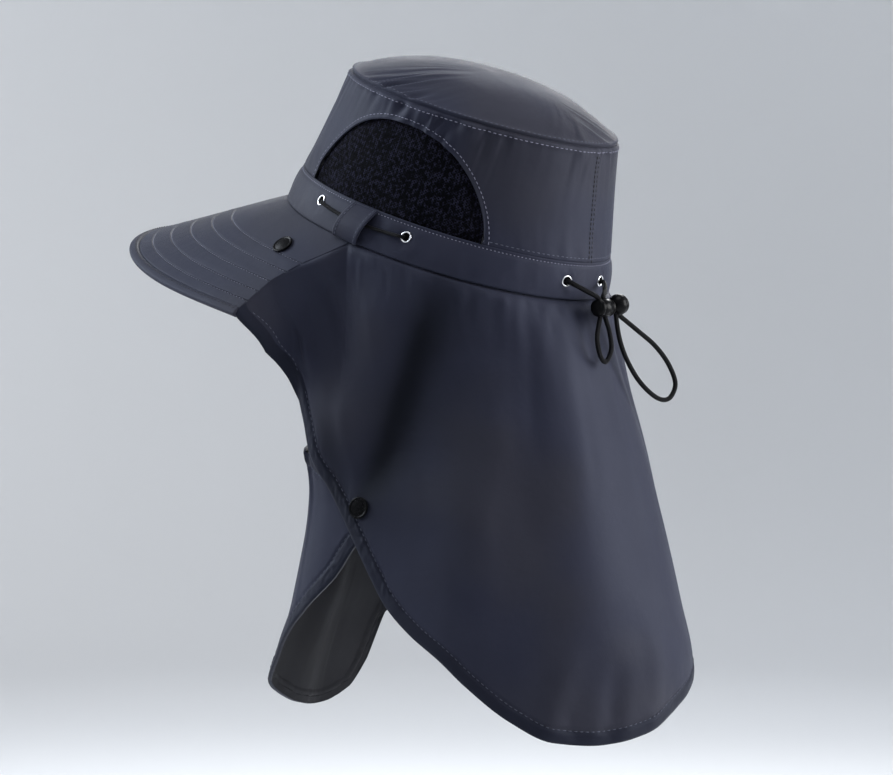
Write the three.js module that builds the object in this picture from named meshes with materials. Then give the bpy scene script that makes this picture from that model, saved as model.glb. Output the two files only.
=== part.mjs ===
// A flap sun hat: domed crown with side vents, drooping visor, and a long neck flap closed at the throat.
// Millimetres, +Z up. The hat faces -Y, the wearer's left is +X, and the origin is the head opening's centre.
import * as THREE from 'three';

// Driving dimensions
const LEAN_BACK = 18.2;        // degrees that the crown leans back on the head
const CLOTH = 1.6;             // one layer of cloth
const HEM_THICKNESS = 2.4;     // cloth turned over and stitched
const HEM_WIDTH = 8;
const COLUMN_STEP = 6;         // degrees between columns of the flap and the wall
const GAP = 0.3;               // clearance between pieces that touch
const BAND_THICKNESS = 3;
const NET_THICKNESS = 1;
const VISOR_THICKNESS = 2.4;
const DOME_RISE = 20;
const DOME_FULLNESS = 2.6;     // higher is flatter on top, with a tighter shoulder

// Rings of the crown, in the crown's own axes, from the head opening to the top seam
const RINGS = [
  { height: 0, long: 102, wide: 84, back: 0 },
  { height: 21.5, long: 98.7, wide: 76.5, back: 0.2 },
  { height: 83.2, long: 83.1, wide: 70.7, back: 1.3 },
];
const BAND_TOP = RINGS[1].height;
const SEAM_HEIGHT = RINGS[2].height;

// Vents: an arch in the wall at each side, angles counted from the front towards the wearer's left
const VENT = { centre: 94.3, half: 38, rise: 49.3, outline: 2.2, shoulder: 1.8, columns: 14, lap: 4, sideLap: 2.5 };

// Visor: how wide it is and how steeply it droops, at the front and added towards the sides
const VISOR = { width: 111.3, narrowing: 44.4, droop: 29.3, extraDroop: 18.8, binding: 6, lip: 0.4 };
const VISOR_SIDE = [
  { share: 0, angle: 89 },
  { share: 0.35, angle: 80.5 },
  { share: 0.6, angle: 77 },
  { share: 1, angle: 76.5 },
];

// Neck flap: the level sections it hangs in, each two half ellipses that meet at the widest place
const SECTIONS = [
  { level: 20, middle: -5, front: 92, back: 100, half: 84 },
  { level: -40, middle: -10, front: 52, back: 116, half: 87 },
  { level: -80, middle: -10, front: 50, back: 125, half: 90 },
  { level: -120, middle: -10, front: 49, back: 137, half: 93.5 },
  { level: -150, middle: -10, front: 53, back: 144, half: 97 },
  { level: -200, middle: -10, front: 67, back: 159, half: 104 },
  { level: -230, middle: -10, front: 80, back: 165, half: 109 },
  { level: -270, middle: -10, front: 92, back: 164, half: 114 },
  { level: -300, middle: -10, front: 94, back: 160, half: 115 },
];
const FALL_IN = 34;            // height over which the flap swings in from its seam to those sections
const WRAP = { start: 325, full: 375, inset: 5 };   // where the flap passes under its own near edge

// The flap's free lower edge, from the left visor corner round the back to the tip under the snap
const HEM = [
  { angle: 69.8, level: -60 },
  { angle: 71.2, level: -84 },
  { angle: 75, level: -103 },
  { angle: 79, level: -120 },
  { angle: 88, level: -136 },
  { angle: 96, level: -151 },
  { angle: 113, level: -192 },
  { angle: 129, level: -227 },
  { angle: 143, level: -254 },
  { angle: 152, level: -265 },
  { angle: 162, level: -267.5 },
  { angle: 172, level: -264 },
  { angle: 186, level: -250 },
  { angle: 210, level: -230 },
  { angle: 240, level: -219 },
  { angle: 290, level: -212 },
  { angle: 325, level: -214 },
  { angle: 333, level: -223 },
  { angle: 339, level: -255 },
  { angle: 346, level: -270 },
  { angle: 360, level: -276 },
  { angle: 377, level: -271 },
  { angle: 392, level: -260 },
  { angle: 411, level: -238 },
  { angle: 434, level: -206 },
  { angle: 448, level: -184 },
  { angle: 456, level: -165 },
  { angle: 462, level: -157 },
  { angle: 466, level: -151 },
];
// Its free upper edge, from the right visor corner across the throat to the same tip
const THROAT = [
  { angle: 290.2, level: -38 },
  { angle: 291, level: -62 },
  { angle: 296, level: -82 },
  { angle: 306, level: -97 },
  { angle: 325, level: -107 },
  { angle: 360, level: -112 },
  { angle: 400, level: -112 },
  { angle: 424, level: -114 },
  { angle: 440, level: -122 },
  { angle: 456, level: -132 },
  { angle: 466, level: -141 },
];
// Folds: from one angle at the top level to another at the bottom level; depth is outwards
const FOLDS = [
  { name: 'pull to the snap', top: 121, bottom: 106, from: -35, to: -138, width: 7, depth: -6 },
  { name: 'roll over the pull', top: 100, bottom: 90, from: -10, to: -125, width: 8, depth: 4 },
  { name: 'back left fold', top: 150, bottom: 143, from: -30, to: -170, width: 6, depth: -4 },
  { name: 'back middle roll', top: 166, bottom: 160, from: -40, to: -230, width: 8, depth: 4 },
  { name: 'back middle fold', top: 178, bottom: 176, from: -30, to: -200, width: 6, depth: -4 },
  { name: 'left lobe roll', top: 135, bottom: 130, from: -120, to: -240, width: 11, depth: 5 },
  { name: 'right side fold', top: 215, bottom: 222, from: -40, to: -230, width: 8, depth: -6 },
  { name: 'right side roll', top: 245, bottom: 250, from: -50, to: -230, width: 10, depth: 5 },
  { name: 'throat sag', top: 345, bottom: 352, from: -115, to: -180, width: 16, depth: 4 },
  { name: 'lobe fold', top: 378, bottom: 372, from: -170, to: -290, width: 9, depth: -5 },
  { name: 'lobe roll', top: 400, bottom: 395, from: -160, to: -280, width: 10, depth: 4 },
];

// Trim on the band: angles from the front towards the wearer's left, heights above the head opening
const SIDE_EYELETS = { front: 68.6, rear: 107, height: 13.5 };
const BACK_EYELETS = { left: 168, right: 190, height: 11 };
const EYELET = { radius: 2.6, wire: 0.85 };
const LOOP = { from: 81.2, to: 91, low: 1, high: 21, bulge: 4.4 };
const SIDE_CORD = { radius: 0.9, steps: 14 };

// Snaps
const SNAP = { radius: 6, height: 3 };
const STUD = { radius: 4.5, height: 1.6 };
const VISOR_SNAP = { angle: 68.6, share: 0.274 };
const THROAT_SNAP = { angle: 98.5, level: -144 };
const FREE_STUD = { angle: 421, level: -121 };

// Drawcord behind the head: the lock lies against the flap just under the band
const LOCK = { x: 2, y: 111.5, z: -35, length: 13, radius: 5, ball: 5.4, ballBack: 1, ballUp: 1.5 };
const CORD = { radius: 1.35, sides: 8 };
// Each strand: straight out of its eyelet, over a slight hump, and straight down into the lock
const STRAND = { apart: 2.6, out: 3.4, down: 3.6, turn: 5, hump: [0, 1.5, 1] };
// The loops' routes, from the lock and back to it; the points are chosen by hand
const SMALL_LOOP = [
  [5.2, 111.5, -40.3], [9.2, 112.4, -51], [7.4, 113.2, -61], [2.6, 113.6, -64.5], [-2.6, 113.6, -58],
  [-2, 112.8, -48.5], [0.2, 111.5, -40.5],
];
const LARGE_LOOP = [
  [-11.9, 112.5, -39.3], [-15.5, 113.6, -43.5], [-23.2, 117.6, -48.5], [-33.3, 121.6, -56.5],
  [-41.7, 124.8, -66.5], [-46.4, 126.7, -77.5], [-44, 125.7, -85], [-38.8, 123.9, -87],
  [-32.1, 121.1, -84], [-23.2, 117.6, -75.5], [-15.4, 114.8, -63.5], [-10.6, 113.4, -52],
  [-8.5, 112.5, -39.4],
];

// Finishes
const FINISHES = {
  cloth: { color: 0x3c3f49, roughness: 0.8, metalness: 0 },
  net: { color: 0x1c1d22, roughness: 0.9, metalness: 0 },
  binding: { color: 0x4b4e58, roughness: 0.8, metalness: 0 },
  eyelet: { color: 0xd4d6da, roughness: 0.25, metalness: 1 },
  snap: { color: 0x0c0c0f, roughness: 0.15, metalness: 0 },
  cord: { color: 0x131316, roughness: 0.85, metalness: 0 },
  plastic: { color: 0x101013, roughness: 0.35, metalness: 0 },
};

const rad = THREE.MathUtils.degToRad;
const deg = THREE.MathUtils.radToDeg;
const lerp = THREE.MathUtils.lerp;
const smoothstep = THREE.MathUtils.smoothstep;
const UPRIGHT = new THREE.Euler(-rad(LEAN_BACK), 0, 0);   // from the crown's own axes to the part's

// Straight-line lookup of a named column in a table sorted by another column
function lookup(table, key, at, column) {
  const rising = table[table.length - 1][key] > table[0][key] ? 1 : -1;
  if ((at - table[0][key]) * rising <= 0) return table[0][column];
  for (let i = 1; i < table.length; i++) {
    const [a, b] = [table[i - 1], table[i]];
    if ((at - b[key]) * rising <= 0) {
      return lerp(a[column], b[column], (at - a[key]) / (b[key] - a[key]));
    }
  }
  return table[table.length - 1][column];
}

function mesh(name, geometry, finish) {
  geometry.computeVertexNormals();
  const piece = new THREE.Mesh(geometry, new THREE.MeshStandardMaterial({ ...FINISHES[finish], name: finish }));
  piece.name = name;
  return piece;
}

// A closed wall between two skins, each a function of a column and a row. A ring of columns joins up;
// a capped wall closes its last row in one point on each skin.
function wall({ columns, rows, outer, inner, ring = false, capped = false }) {
  const positions = [];
  const faces = [];
  const across = ring ? columns : columns + 1;
  const levels = capped ? rows : rows + 1;
  const skins = [outer, inner];
  for (const skin of skins) {
    for (let i = 0; i < across; i++) {
      for (let j = 0; j < levels; j++) positions.push(...skin(i, j).toArray());
    }
  }
  const size = across * levels;
  if (capped) skins.forEach((skin) => positions.push(...skin(0, rows).toArray()));
  const at = (side, i, j) => {
    if (capped && j === rows) return 2 * size + side;
    return side * size + (i % across) * levels + j;
  };
  const quad = (a, b, c, d) => {
    if (b !== c) faces.push(a, b, c);
    if (a !== d && c !== d) faces.push(a, c, d);
  };
  for (let i = 0; i < columns; i++) {
    for (let j = 0; j < rows; j++) {
      quad(at(0, i, j), at(0, i, j + 1), at(0, i + 1, j + 1), at(0, i + 1, j));
      quad(at(1, i, j), at(1, i + 1, j), at(1, i + 1, j + 1), at(1, i, j + 1));
    }
    quad(at(0, i, 0), at(0, i + 1, 0), at(1, i + 1, 0), at(1, i, 0));
    if (!capped) quad(at(0, i, rows), at(1, i, rows), at(1, i + 1, rows), at(0, i + 1, rows));
  }
  if (!ring) {
    for (let j = 0; j < rows; j++) {
      quad(at(0, 0, j), at(1, 0, j), at(1, 0, j + 1), at(0, 0, j + 1));
      quad(at(0, columns, j), at(0, columns, j + 1), at(1, columns, j + 1), at(1, columns, j));
    }
  }
  const geometry = new THREE.BufferGeometry();
  geometry.setAttribute('position', new THREE.Float32BufferAttribute(positions, 3));
  geometry.setIndex(faces);
  return geometry;
}

// The crown: points on its wall in its own axes, x to the wearer's left, y to the back, z up the crown
function crownPoint(angle, height, outwards = 0) {
  const long = lookup(RINGS, 'height', height, 'long');
  const wide = lookup(RINGS, 'height', height, 'wide');
  const back = lookup(RINGS, 'height', height, 'back');
  const normal = crownNormal(angle, height);
  return new THREE.Vector3(
    wide * Math.sin(rad(angle)) + outwards * normal.x,
    back - long * Math.cos(rad(angle)) + outwards * normal.y,
    height,
  );
}

function crownNormal(angle, height) {
  const long = lookup(RINGS, 'height', height, 'long');
  const wide = lookup(RINGS, 'height', height, 'wide');
  return new THREE.Vector3(Math.sin(rad(angle)) / wide, -Math.cos(rad(angle)) / long, 0).normalize();
}

// The way the leaning wall faces, and a place lifted off it
function leaningNormal(angle, height) {
  const along = crownPoint(angle + 1, height).sub(crownPoint(angle - 1, height));
  const up = crownPoint(angle, height + 1).sub(crownPoint(angle, height - 1));
  return along.cross(up).normalize();
}

function lifted(angle, height, lift) {
  return crownPoint(angle, height).addScaledVector(leaningNormal(angle, height), lift);
}

function ventHeight(angle, centre) {
  const across = Math.min(1, Math.abs(angle - centre) / VENT.half);
  return BAND_TOP + VENT.rise * (1 - across ** VENT.outline) ** (1 / VENT.shoulder);
}

function ventAngles(centre) {
  const angles = [];
  for (let i = 0; i <= VENT.columns; i++) {
    angles.push(centre - VENT.half * Math.cos((Math.PI * i) / VENT.columns));
  }
  return angles;
}

function buildCrownWall() {
  const vents = [VENT.centre, 360 - VENT.centre];
  const angles = [];
  for (let angle = 0; angle < 360; angle += COLUMN_STEP) {
    if (vents.every((centre) => Math.abs(angle - centre) > VENT.half + 2)) angles.push(angle);
  }
  vents.forEach((centre) => angles.push(...ventAngles(centre)));
  angles.sort((a, b) => a - b);
  const low = (angle) => {
    const vent = vents.find((centre) => Math.abs(angle - centre) <= VENT.half);
    return GAP + (vent ? ventHeight(angle, vent) : BAND_TOP);
  };
  const rows = 3;
  const skin = (outwards) => (i, j) => {
    const height = lerp(SEAM_HEIGHT, low(angles[i]), j / rows);
    return crownPoint(angles[i], height, outwards);
  };
  return wall({ columns: angles.length, rows, outer: skin(0), inner: skin(-CLOTH), ring: true });
}

function buildNet(centre) {
  const reach = VENT.half + VENT.sideLap;
  const rows = 4;
  const depth = CLOTH + GAP;
  const skin = (outwards) => (i, j) => {
    const angle = centre - reach * Math.cos((Math.PI * i) / VENT.columns);
    const top = Math.min(ventHeight(angle, centre) + VENT.lap, SEAM_HEIGHT - VENT.lap);
    return crownPoint(angle, lerp(top, BAND_TOP + GAP, j / rows), outwards);
  };
  return wall({ columns: VENT.columns, rows, outer: skin(-depth), inner: skin(-depth - NET_THICKNESS) });
}

function buildCrownTop() {
  const columns = 36;
  const rows = 5;
  const skin = (inset) => (i, j) => {
    const angle = (-360 * i) / columns;
    const share = Math.cos((Math.PI / 2) * (j / rows));
    const rim = crownPoint(angle, SEAM_HEIGHT, -inset);
    const rise = DOME_RISE * (1 - share ** DOME_FULLNESS);
    const back = RINGS[2].back;
    const height = SEAM_HEIGHT + GAP + rise * (1 - inset / DOME_RISE);
    return new THREE.Vector3(rim.x * share, back + (rim.y - back) * share, height);
  };
  return wall({ columns, rows, outer: skin(0), inner: skin(CLOTH), ring: true, capped: true });
}

function buildBand() {
  const columns = 48;
  const skin = (outwards) => (i, j) => crownPoint((360 * i) / columns, j === 0 ? BAND_TOP : 0, outwards);
  return wall({ columns, rows: 1, outer: skin(0), inner: skin(-BAND_THICKNESS), ring: true });
}

// The visor: points on its upper face, in the crown's axes, by angle and share of its width
function visorPoint(angle, share, below = 0) {
  const side = Math.sin(rad(angle)) ** 2;
  const width = VISOR.width - VISOR.narrowing * side;
  const droop = rad(VISOR.droop + VISOR.extraDroop * side);
  const out = crownNormal(angle, 0);
  const along = out.clone().multiplyScalar(Math.cos(droop)).setZ(-Math.sin(droop));
  const down = out.clone().multiplyScalar(-Math.sin(droop)).setZ(-Math.cos(droop));
  return crownPoint(angle, 0).addScaledVector(along, width * share).addScaledVector(down, below);
}

const visorSide = (share) => lookup(VISOR_SIDE, 'share', share, 'angle');
const BINDING_SHARE = 1 - VISOR.binding / VISOR.width;

function buildVisor(from, to, columns, rows, above, thickness) {
  const skin = (below) => (i, j) => {
    const share = lerp(from, to, j / rows);
    return visorPoint(lerp(-1, 1, i / columns) * visorSide(share), share, below);
  };
  return wall({ columns, rows, outer: skin(-above), inner: skin(thickness - above) });
}

// The neck flap's seam: along the visor's side edge, then round the band's lower edge
function seamPoints() {
  const left = [];
  const under = VISOR_THICKNESS + VISOR.lip;
  for (let i = 0; i <= 12; i++) {
    const share = 1 - i / 12;
    left.push(visorPoint(visorSide(share), share, under));
  }
  const start = visorSide(0) + 4;
  for (let i = 0; i <= 20; i++) left.push(crownPoint(lerp(start, 180, i / 20), 0).setZ(-GAP));
  const right = left.slice(0, -1).reverse().map((p) => new THREE.Vector3(-p.x, p.y, p.z));
  return [...left, ...right].map((p) => {
    p.applyEuler(UPRIGHT);
    const angle = deg(Math.atan2(p.x, -p.y));
    return { angle: angle < 0 ? angle + 360 : angle, level: p.z, radius: Math.hypot(p.x, p.y) };
  });
}
const SEAM = seamPoints();

// Distance from the flap's upright axis to a level section, at an angle from the front
function sectionRadius(angle, level) {
  const middle = lookup(SECTIONS, 'level', level, 'middle');
  const half = lookup(SECTIONS, 'level', level, 'half');
  const turn = Math.abs(((angle + 180) % 360) - 180);
  const inFront = turn < deg(Math.atan2(half, -middle));
  const depth = lookup(SECTIONS, 'level', level, inFront ? 'front' : 'back');
  const [s, c] = [Math.sin(rad(angle)), -Math.cos(rad(angle))];
  const a = (s / half) ** 2 + (c / depth) ** 2;
  const b = (-2 * c * middle) / depth ** 2;
  const k = (middle / depth) ** 2 - 1;
  return (-b + Math.sqrt(b * b - 4 * a * k)) / (2 * a);
}

// The end that passes under the near edge follows that edge's folds too
function foldDepth(angle, level) {
  let depth = angle > 360 ? foldDepth(angle - 360, level) : 0;
  for (const fold of FOLDS) {
    const share = (level - fold.from) / (fold.to - fold.from);
    const fade = smoothstep(share, -0.1, 0.25) * (1 - smoothstep(share, 0.7, 1.05));
    const off = (angle - lerp(fold.top, fold.bottom, share)) / fold.width;
    depth += fold.depth * fade * Math.exp(-off * off);
  }
  return depth;
}

// A point on the flap's outer face, moved inwards by a depth
function flapPoint(angle, level, inwards = 0) {
  const around = angle > 360 ? angle - 360 : angle;
  const seamLevel = lookup(SEAM, 'angle', around, 'level');
  const seamRadius = lookup(SEAM, 'angle', around, 'radius');
  const swing = Math.exp(-Math.max(seamLevel - level, 0) / FALL_IN);
  const section = sectionRadius(angle, level);
  const wrap = WRAP.inset * smoothstep(angle, WRAP.start, WRAP.full);
  const extra = seamRadius - sectionRadius(around, seamLevel);
  const folds = foldDepth(angle, level) * smoothstep(seamLevel - level, 0, FALL_IN);
  const radius = section + extra * swing + folds - wrap - inwards;
  return new THREE.Vector3(radius * Math.sin(rad(angle)), -radius * Math.cos(rad(angle)), level);
}

// The way the flap's outer face points
function flapNormal(angle, level) {
  const step = 1.5;
  const along = flapPoint(angle + step, level).sub(flapPoint(angle - step, level));
  const up = flapPoint(angle, level + step).sub(flapPoint(angle, level - step));
  return along.cross(up).normalize();
}

function flapTop(angle) {
  const corner = SEAM[SEAM.length - 1].angle;
  if (angle <= corner) return lookup(SEAM, 'angle', angle, 'level');
  return lookup(THROAT, 'angle', angle, 'level');
}

function flapAngles() {
  const angles = [...HEM, ...THROAT].map((row) => row.angle);
  const first = HEM[0].angle;
  const last = HEM[HEM.length - 1].angle;
  for (let angle = first; angle < last; angle += COLUMN_STEP) angles.push(angle);
  angles.sort((a, b) => a - b);
  return angles.filter((angle, i) => i === 0 || angle - angles[i - 1] > 0.9 || angle === last);
}

function buildFlap() {
  const angles = flapAngles();
  const rows = 11;
  const skin = (single, hemmed) => (i, j) => {
    const angle = angles[i];
    const top = flapTop(angle);
    const bottom = lookup(HEM, 'angle', angle, 'level');
    const edge = Math.min(HEM_WIDTH / (top - bottom), 0.3);
    const sewn = angle <= SEAM[SEAM.length - 1].angle;
    const shares = [0, ...Array.from({ length: rows - 1 }, (_, n) => lerp(edge, 1 - edge, n / (rows - 2))), 1];
    const inHem = j >= rows - 1 || (!sewn && j <= 1) || i < 1 || i > angles.length - 2;
    return flapPoint(angle, lerp(top, bottom, shares[j]), inHem ? hemmed : single);
  };
  return wall({ columns: angles.length - 1, rows, outer: skin(0, 0), inner: skin(CLOTH, HEM_THICKNESS) });
}

// A turned disc: a domed cap or a stud with a small nub, standing on its flat face
function buildCap(radius, height) {
  const shoulder = radius * 0.25;
  const profile = [
    new THREE.Vector2(0, 0),
    new THREE.Vector2(radius, 0),
    new THREE.Vector2(radius, height * 0.4),
    new THREE.Vector2(radius - shoulder, height * 0.85),
    new THREE.Vector2(radius * 0.4, height),
    new THREE.Vector2(0, height),
  ];
  return new THREE.LatheGeometry(profile, 12).rotateX(Math.PI / 2);
}

function place(piece, point, normal) {
  piece.position.copy(point);
  piece.quaternion.setFromUnitVectors(new THREE.Vector3(0, 0, 1), normal);
  return piece;
}

function circle(radius, sides) {
  const shape = new THREE.Shape();
  for (let i = 0; i < sides; i++) {
    const turn = (2 * Math.PI * i) / sides;
    if (i === 0) shape.moveTo(radius * Math.cos(turn), radius * Math.sin(turn));
    else shape.lineTo(radius * Math.cos(turn), radius * Math.sin(turn));
  }
  return shape;
}

function buildCord(points, radius, steps) {
  const path = new THREE.CatmullRomCurve3(points);
  return new THREE.ExtrudeGeometry(circle(radius, CORD.sides), { steps, extrudePath: path });
}

function buildLoop(side) {
  const rows = 6;
  const skin = (thickness) => (i, j) => {
    const angle = side * lerp(LOOP.from, LOOP.to, i / 2);
    const height = lerp(LOOP.high, LOOP.low, j / rows);
    const bow = LOOP.bulge * Math.sin((Math.PI * j) / rows);
    return lifted(angle, height, GAP + bow + thickness);
  };
  const [outer, inner] = [skin(CLOTH), skin(0)];
  const flipped = (f) => (i, j) => f(2 - i, j);
  return side > 0
    ? wall({ columns: 2, rows, outer, inner })
    : wall({ columns: 2, rows, outer: flipped(outer), inner: flipped(inner) });
}

function buildSideCord(side) {
  const over = GAP + 2 * EYELET.wire + GAP + SIDE_CORD.radius;
  const points = [];
  for (let i = 0; i <= 8; i++) {
    const angle = side * lerp(SIDE_EYELETS.front, SIDE_EYELETS.rear, i / 8);
    points.push(lifted(angle, SIDE_EYELETS.height, over));
  }
  return buildCord(points, SIDE_CORD.radius, SIDE_CORD.steps);
}

function buildHat() {
  const hat = new THREE.Group();
  hat.rotation.x = -rad(LEAN_BACK);
  hat.add(mesh('crown_top', buildCrownTop(), 'cloth'));
  hat.add(mesh('crown_wall', buildCrownWall(), 'cloth'));
  hat.add(mesh('mesh_left', buildNet(VENT.centre), 'net'));
  hat.add(mesh('mesh_right', buildNet(360 - VENT.centre), 'net'));
  hat.add(mesh('band', buildBand(), 'cloth'));
  const inner = GAP / VISOR.width;
  const outerEdge = BINDING_SHARE - GAP / VISOR.width;
  const bindingThickness = VISOR_THICKNESS + 2 * VISOR.lip;
  hat.add(mesh('visor', buildVisor(inner, outerEdge, 36, 4, 0, VISOR_THICKNESS), 'cloth'));
  hat.add(mesh('visor_binding', buildVisor(BINDING_SHARE, 1, 36, 1, VISOR.lip, bindingThickness), 'binding'));

  for (const [word, side] of [['left', 1], ['right', -1]]) {
    hat.add(mesh(`belt_loop_${word}`, buildLoop(side), 'cloth'));
    hat.add(mesh(`side_cord_${word}`, buildSideCord(side), 'cord'));
    for (const spot of ['front', 'rear']) {
      hat.add(buildEyelet(`eyelet_${spot}_${word}`, side * SIDE_EYELETS[spot], SIDE_EYELETS.height));
    }
    hat.add(buildEyelet(`eyelet_back_${word}`, BACK_EYELETS[word], BACK_EYELETS.height));
    const angle = side * VISOR_SNAP.angle;
    const down = visorPoint(angle, VISOR_SNAP.share, 1).sub(visorPoint(angle, VISOR_SNAP.share));
    const snap = mesh(`visor_snap_${word}`, buildCap(SNAP.radius, SNAP.height), 'snap');
    hat.add(place(snap, visorPoint(angle, VISOR_SNAP.share, -2 * GAP), down.negate()));
  }
  return hat;
}

function buildEyelet(name, angle, height) {
  const ring = mesh(name, new THREE.TorusGeometry(EYELET.radius, EYELET.wire, 5, 10), 'eyelet');
  return place(ring, lifted(angle, height, GAP + EYELET.wire), leaningNormal(angle, height));
}

function buildThroatSnap() {
  const { angle, level } = THROAT_SNAP;
  const normal = flapNormal(angle, level);
  const cap = mesh('flap_snap', buildCap(SNAP.radius, SNAP.height), 'snap');
  place(cap, flapPoint(angle, level).addScaledVector(normal, GAP), normal);
  const stud = mesh('flap_stud', buildCap(STUD.radius, STUD.height), 'snap');
  place(stud, flapPoint(angle, level).addScaledVector(normal, GAP - WRAP.inset), normal);
  return [cap, stud];
}

function buildFreeStud() {
  const { angle, level } = FREE_STUD;
  const normal = flapNormal(angle, level);
  const stud = mesh('free_stud', buildCap(STUD.radius, STUD.height), 'snap');
  return place(stud, flapPoint(angle, level).addScaledVector(normal, 2 * GAP), normal);
}

function buildDrawcord() {
  const cord = [];
  const half = LOCK.length / 2;
  const straight = LOCK.length - 2 * LOCK.radius;
  const body = mesh('cord_lock', new THREE.CapsuleGeometry(LOCK.radius, straight, 3, 12), 'plastic');
  body.rotation.z = Math.PI / 2;
  body.position.set(LOCK.x, LOCK.y, LOCK.z);
  cord.push(body);
  const ball = mesh('cord_ball', new THREE.SphereGeometry(LOCK.ball, 12, 8), 'plastic');
  ball.position.set(LOCK.x - half - LOCK.ball - GAP, LOCK.y + LOCK.ballBack, LOCK.z + LOCK.ballUp);
  cord.push(ball);
  for (const [word, side] of [['left', 1], ['right', -1]]) {
    const out = (lift) => lifted(BACK_EYELETS[word], BACK_EYELETS.height, lift).applyEuler(UPRIGHT);
    const above = (clear) => new THREE.Vector3(LOCK.x + side * STRAND.apart, LOCK.y, LOCK.z + LOCK.radius + clear);
    const middle = out(STRAND.turn).lerp(above(STRAND.turn), 0.5).add(new THREE.Vector3(...STRAND.hump));
    const points = [out(GAP), out(STRAND.out), middle, above(STRAND.down), above(GAP)];
    cord.push(mesh(`drawcord_${word}`, buildCord(points, CORD.radius, 12), 'cord'));
  }
  const route = (table) => table.map(([x, y, z]) => new THREE.Vector3(x, y, z));
  cord.push(mesh('drawcord_small_loop', buildCord(route(SMALL_LOOP), CORD.radius, 18), 'cord'));
  cord.push(mesh('drawcord_large_loop', buildCord(route(LARGE_LOOP), CORD.radius, 32), 'cord'));
  return cord;
}

const group = new THREE.Group();
group.add(buildHat());
group.add(mesh('neck_flap', buildFlap(), 'cloth'));
group.add(...buildThroatSnap(), buildFreeStud(), ...buildDrawcord());

export default group;
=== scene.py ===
# %% [markdown]
# # A flap sun hat, dressed over its CAD frame
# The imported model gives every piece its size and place. Each cloth piece is made again here as a fine mesh
# from the same few sizes, with the gathers, seams and stitches that the real one has, and then stands for
# its CAD solid. Lengths in the tables are millimetres, because a maker reads them that way, and one
# function turns them into metres.

import bmesh
import bpy
import numpy as np
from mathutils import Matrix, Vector


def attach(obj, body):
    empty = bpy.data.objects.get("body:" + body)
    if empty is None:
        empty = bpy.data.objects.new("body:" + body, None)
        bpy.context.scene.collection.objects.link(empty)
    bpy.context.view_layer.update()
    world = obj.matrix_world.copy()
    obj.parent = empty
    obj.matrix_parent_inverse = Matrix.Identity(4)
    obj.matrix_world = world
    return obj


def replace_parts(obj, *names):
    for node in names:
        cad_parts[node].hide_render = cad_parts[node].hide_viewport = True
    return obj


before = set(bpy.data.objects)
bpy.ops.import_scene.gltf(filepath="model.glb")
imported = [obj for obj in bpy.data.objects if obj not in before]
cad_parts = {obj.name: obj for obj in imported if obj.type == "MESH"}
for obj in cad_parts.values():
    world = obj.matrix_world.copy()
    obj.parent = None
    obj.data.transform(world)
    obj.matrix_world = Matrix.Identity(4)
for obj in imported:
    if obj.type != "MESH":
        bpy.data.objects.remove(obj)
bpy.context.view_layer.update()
MM = 0.001
print("CAD nodes:", len(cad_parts))

# %% [markdown]
# ## The camera
# The photograph looks at the hat from behind its left side, a little above the middle of the flap. The
# camera stands level with the head opening and is aimed down at a point under it, so no lens shift is
# needed and every other view stays centred.

# %% camera
CAMERA_TURN = np.radians(128.38)
CAMERA_DISTANCE = 1.5371
CAMERA_LENS = 107.73
AIM = Vector((0, 0, -0.0826))

camera = bpy.data.objects.new("camera", bpy.data.cameras.new("camera"))
bpy.context.collection.objects.link(camera)
camera.location = (np.sin(CAMERA_TURN) * CAMERA_DISTANCE, -np.cos(CAMERA_TURN) * CAMERA_DISTANCE, 0)
camera.rotation_euler = (AIM - camera.location).to_track_quat("-Z", "Y").to_euler()
camera.data.lens = CAMERA_LENS
camera.data.sensor_width = 36
bpy.context.scene.camera = camera
print("camera at", [round(v, 3) for v in camera.location])

# %% [markdown]
# ## Smooth curves through short tables
# A hat is described well by a few sections. A straight-line table would leave a crease at each row, so
# this lookup passes a smooth curve through the rows and never swings past them.


# %% smooth lookup
def smooth(at, keys, values):
    """A curve through a table's rows that rises and falls only where the rows do."""
    keys, values = np.asarray(keys, float), np.asarray(values, float)
    if keys[0] > keys[-1]:
        keys, values = keys[::-1], values[::-1]
    step = np.diff(keys)
    rise = np.diff(values) / step
    slope = np.zeros(len(keys))
    same = rise[:-1] * rise[1:] > 0
    inner = 2 * rise[:-1] * rise[1:] / np.where(same, rise[:-1] + rise[1:], 1)
    slope[1:-1] = np.where(same, inner, 0)
    slope[0], slope[-1] = rise[0], rise[-1]
    at = np.clip(at, keys[0], keys[-1])
    i = np.clip(np.searchsorted(keys, at, side="right") - 1, 0, len(keys) - 2)
    h, t = step[i], (at - keys[i]) / step[i]
    near = values[i] * (1 + 2 * t) * (1 - t) ** 2 + slope[i] * h * t * (1 - t) ** 2
    far = values[i + 1] * t * t * (3 - 2 * t) + slope[i + 1] * h * t * t * (t - 1)
    return near + far


def column(table, name):
    return [row[name] for row in table]


def ease(value, low, high):
    t = np.clip((value - low) / (high - low), 0, 1)
    return t * t * (3 - 2 * t)


def bell(value, middle, width):
    return np.exp(-(((value - middle) / width) ** 2))


def soft_noise(x, y, seed, cells=96):
    """Smooth seeded noise between -1 and 1, which repeats after a number of cells."""
    grid = np.random.RandomState(seed).uniform(-1, 1, (cells, cells))
    x, y = np.broadcast_arrays(np.asarray(x, float), np.asarray(y, float))
    i, j = np.floor(x).astype(int), np.floor(y).astype(int)
    u, v = ease(x - i, 0, 1), ease(y - j, 0, 1)
    low = grid[i % cells, j % cells] * (1 - u) + grid[(i + 1) % cells, j % cells] * u
    high = grid[i % cells, (j + 1) % cells] * (1 - u) + grid[(i + 1) % cells, (j + 1) % cells] * u
    return low * (1 - v) + high * v


print("halfway between two rows:", float(smooth(5, [0, 10], [0, 1])))

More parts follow.
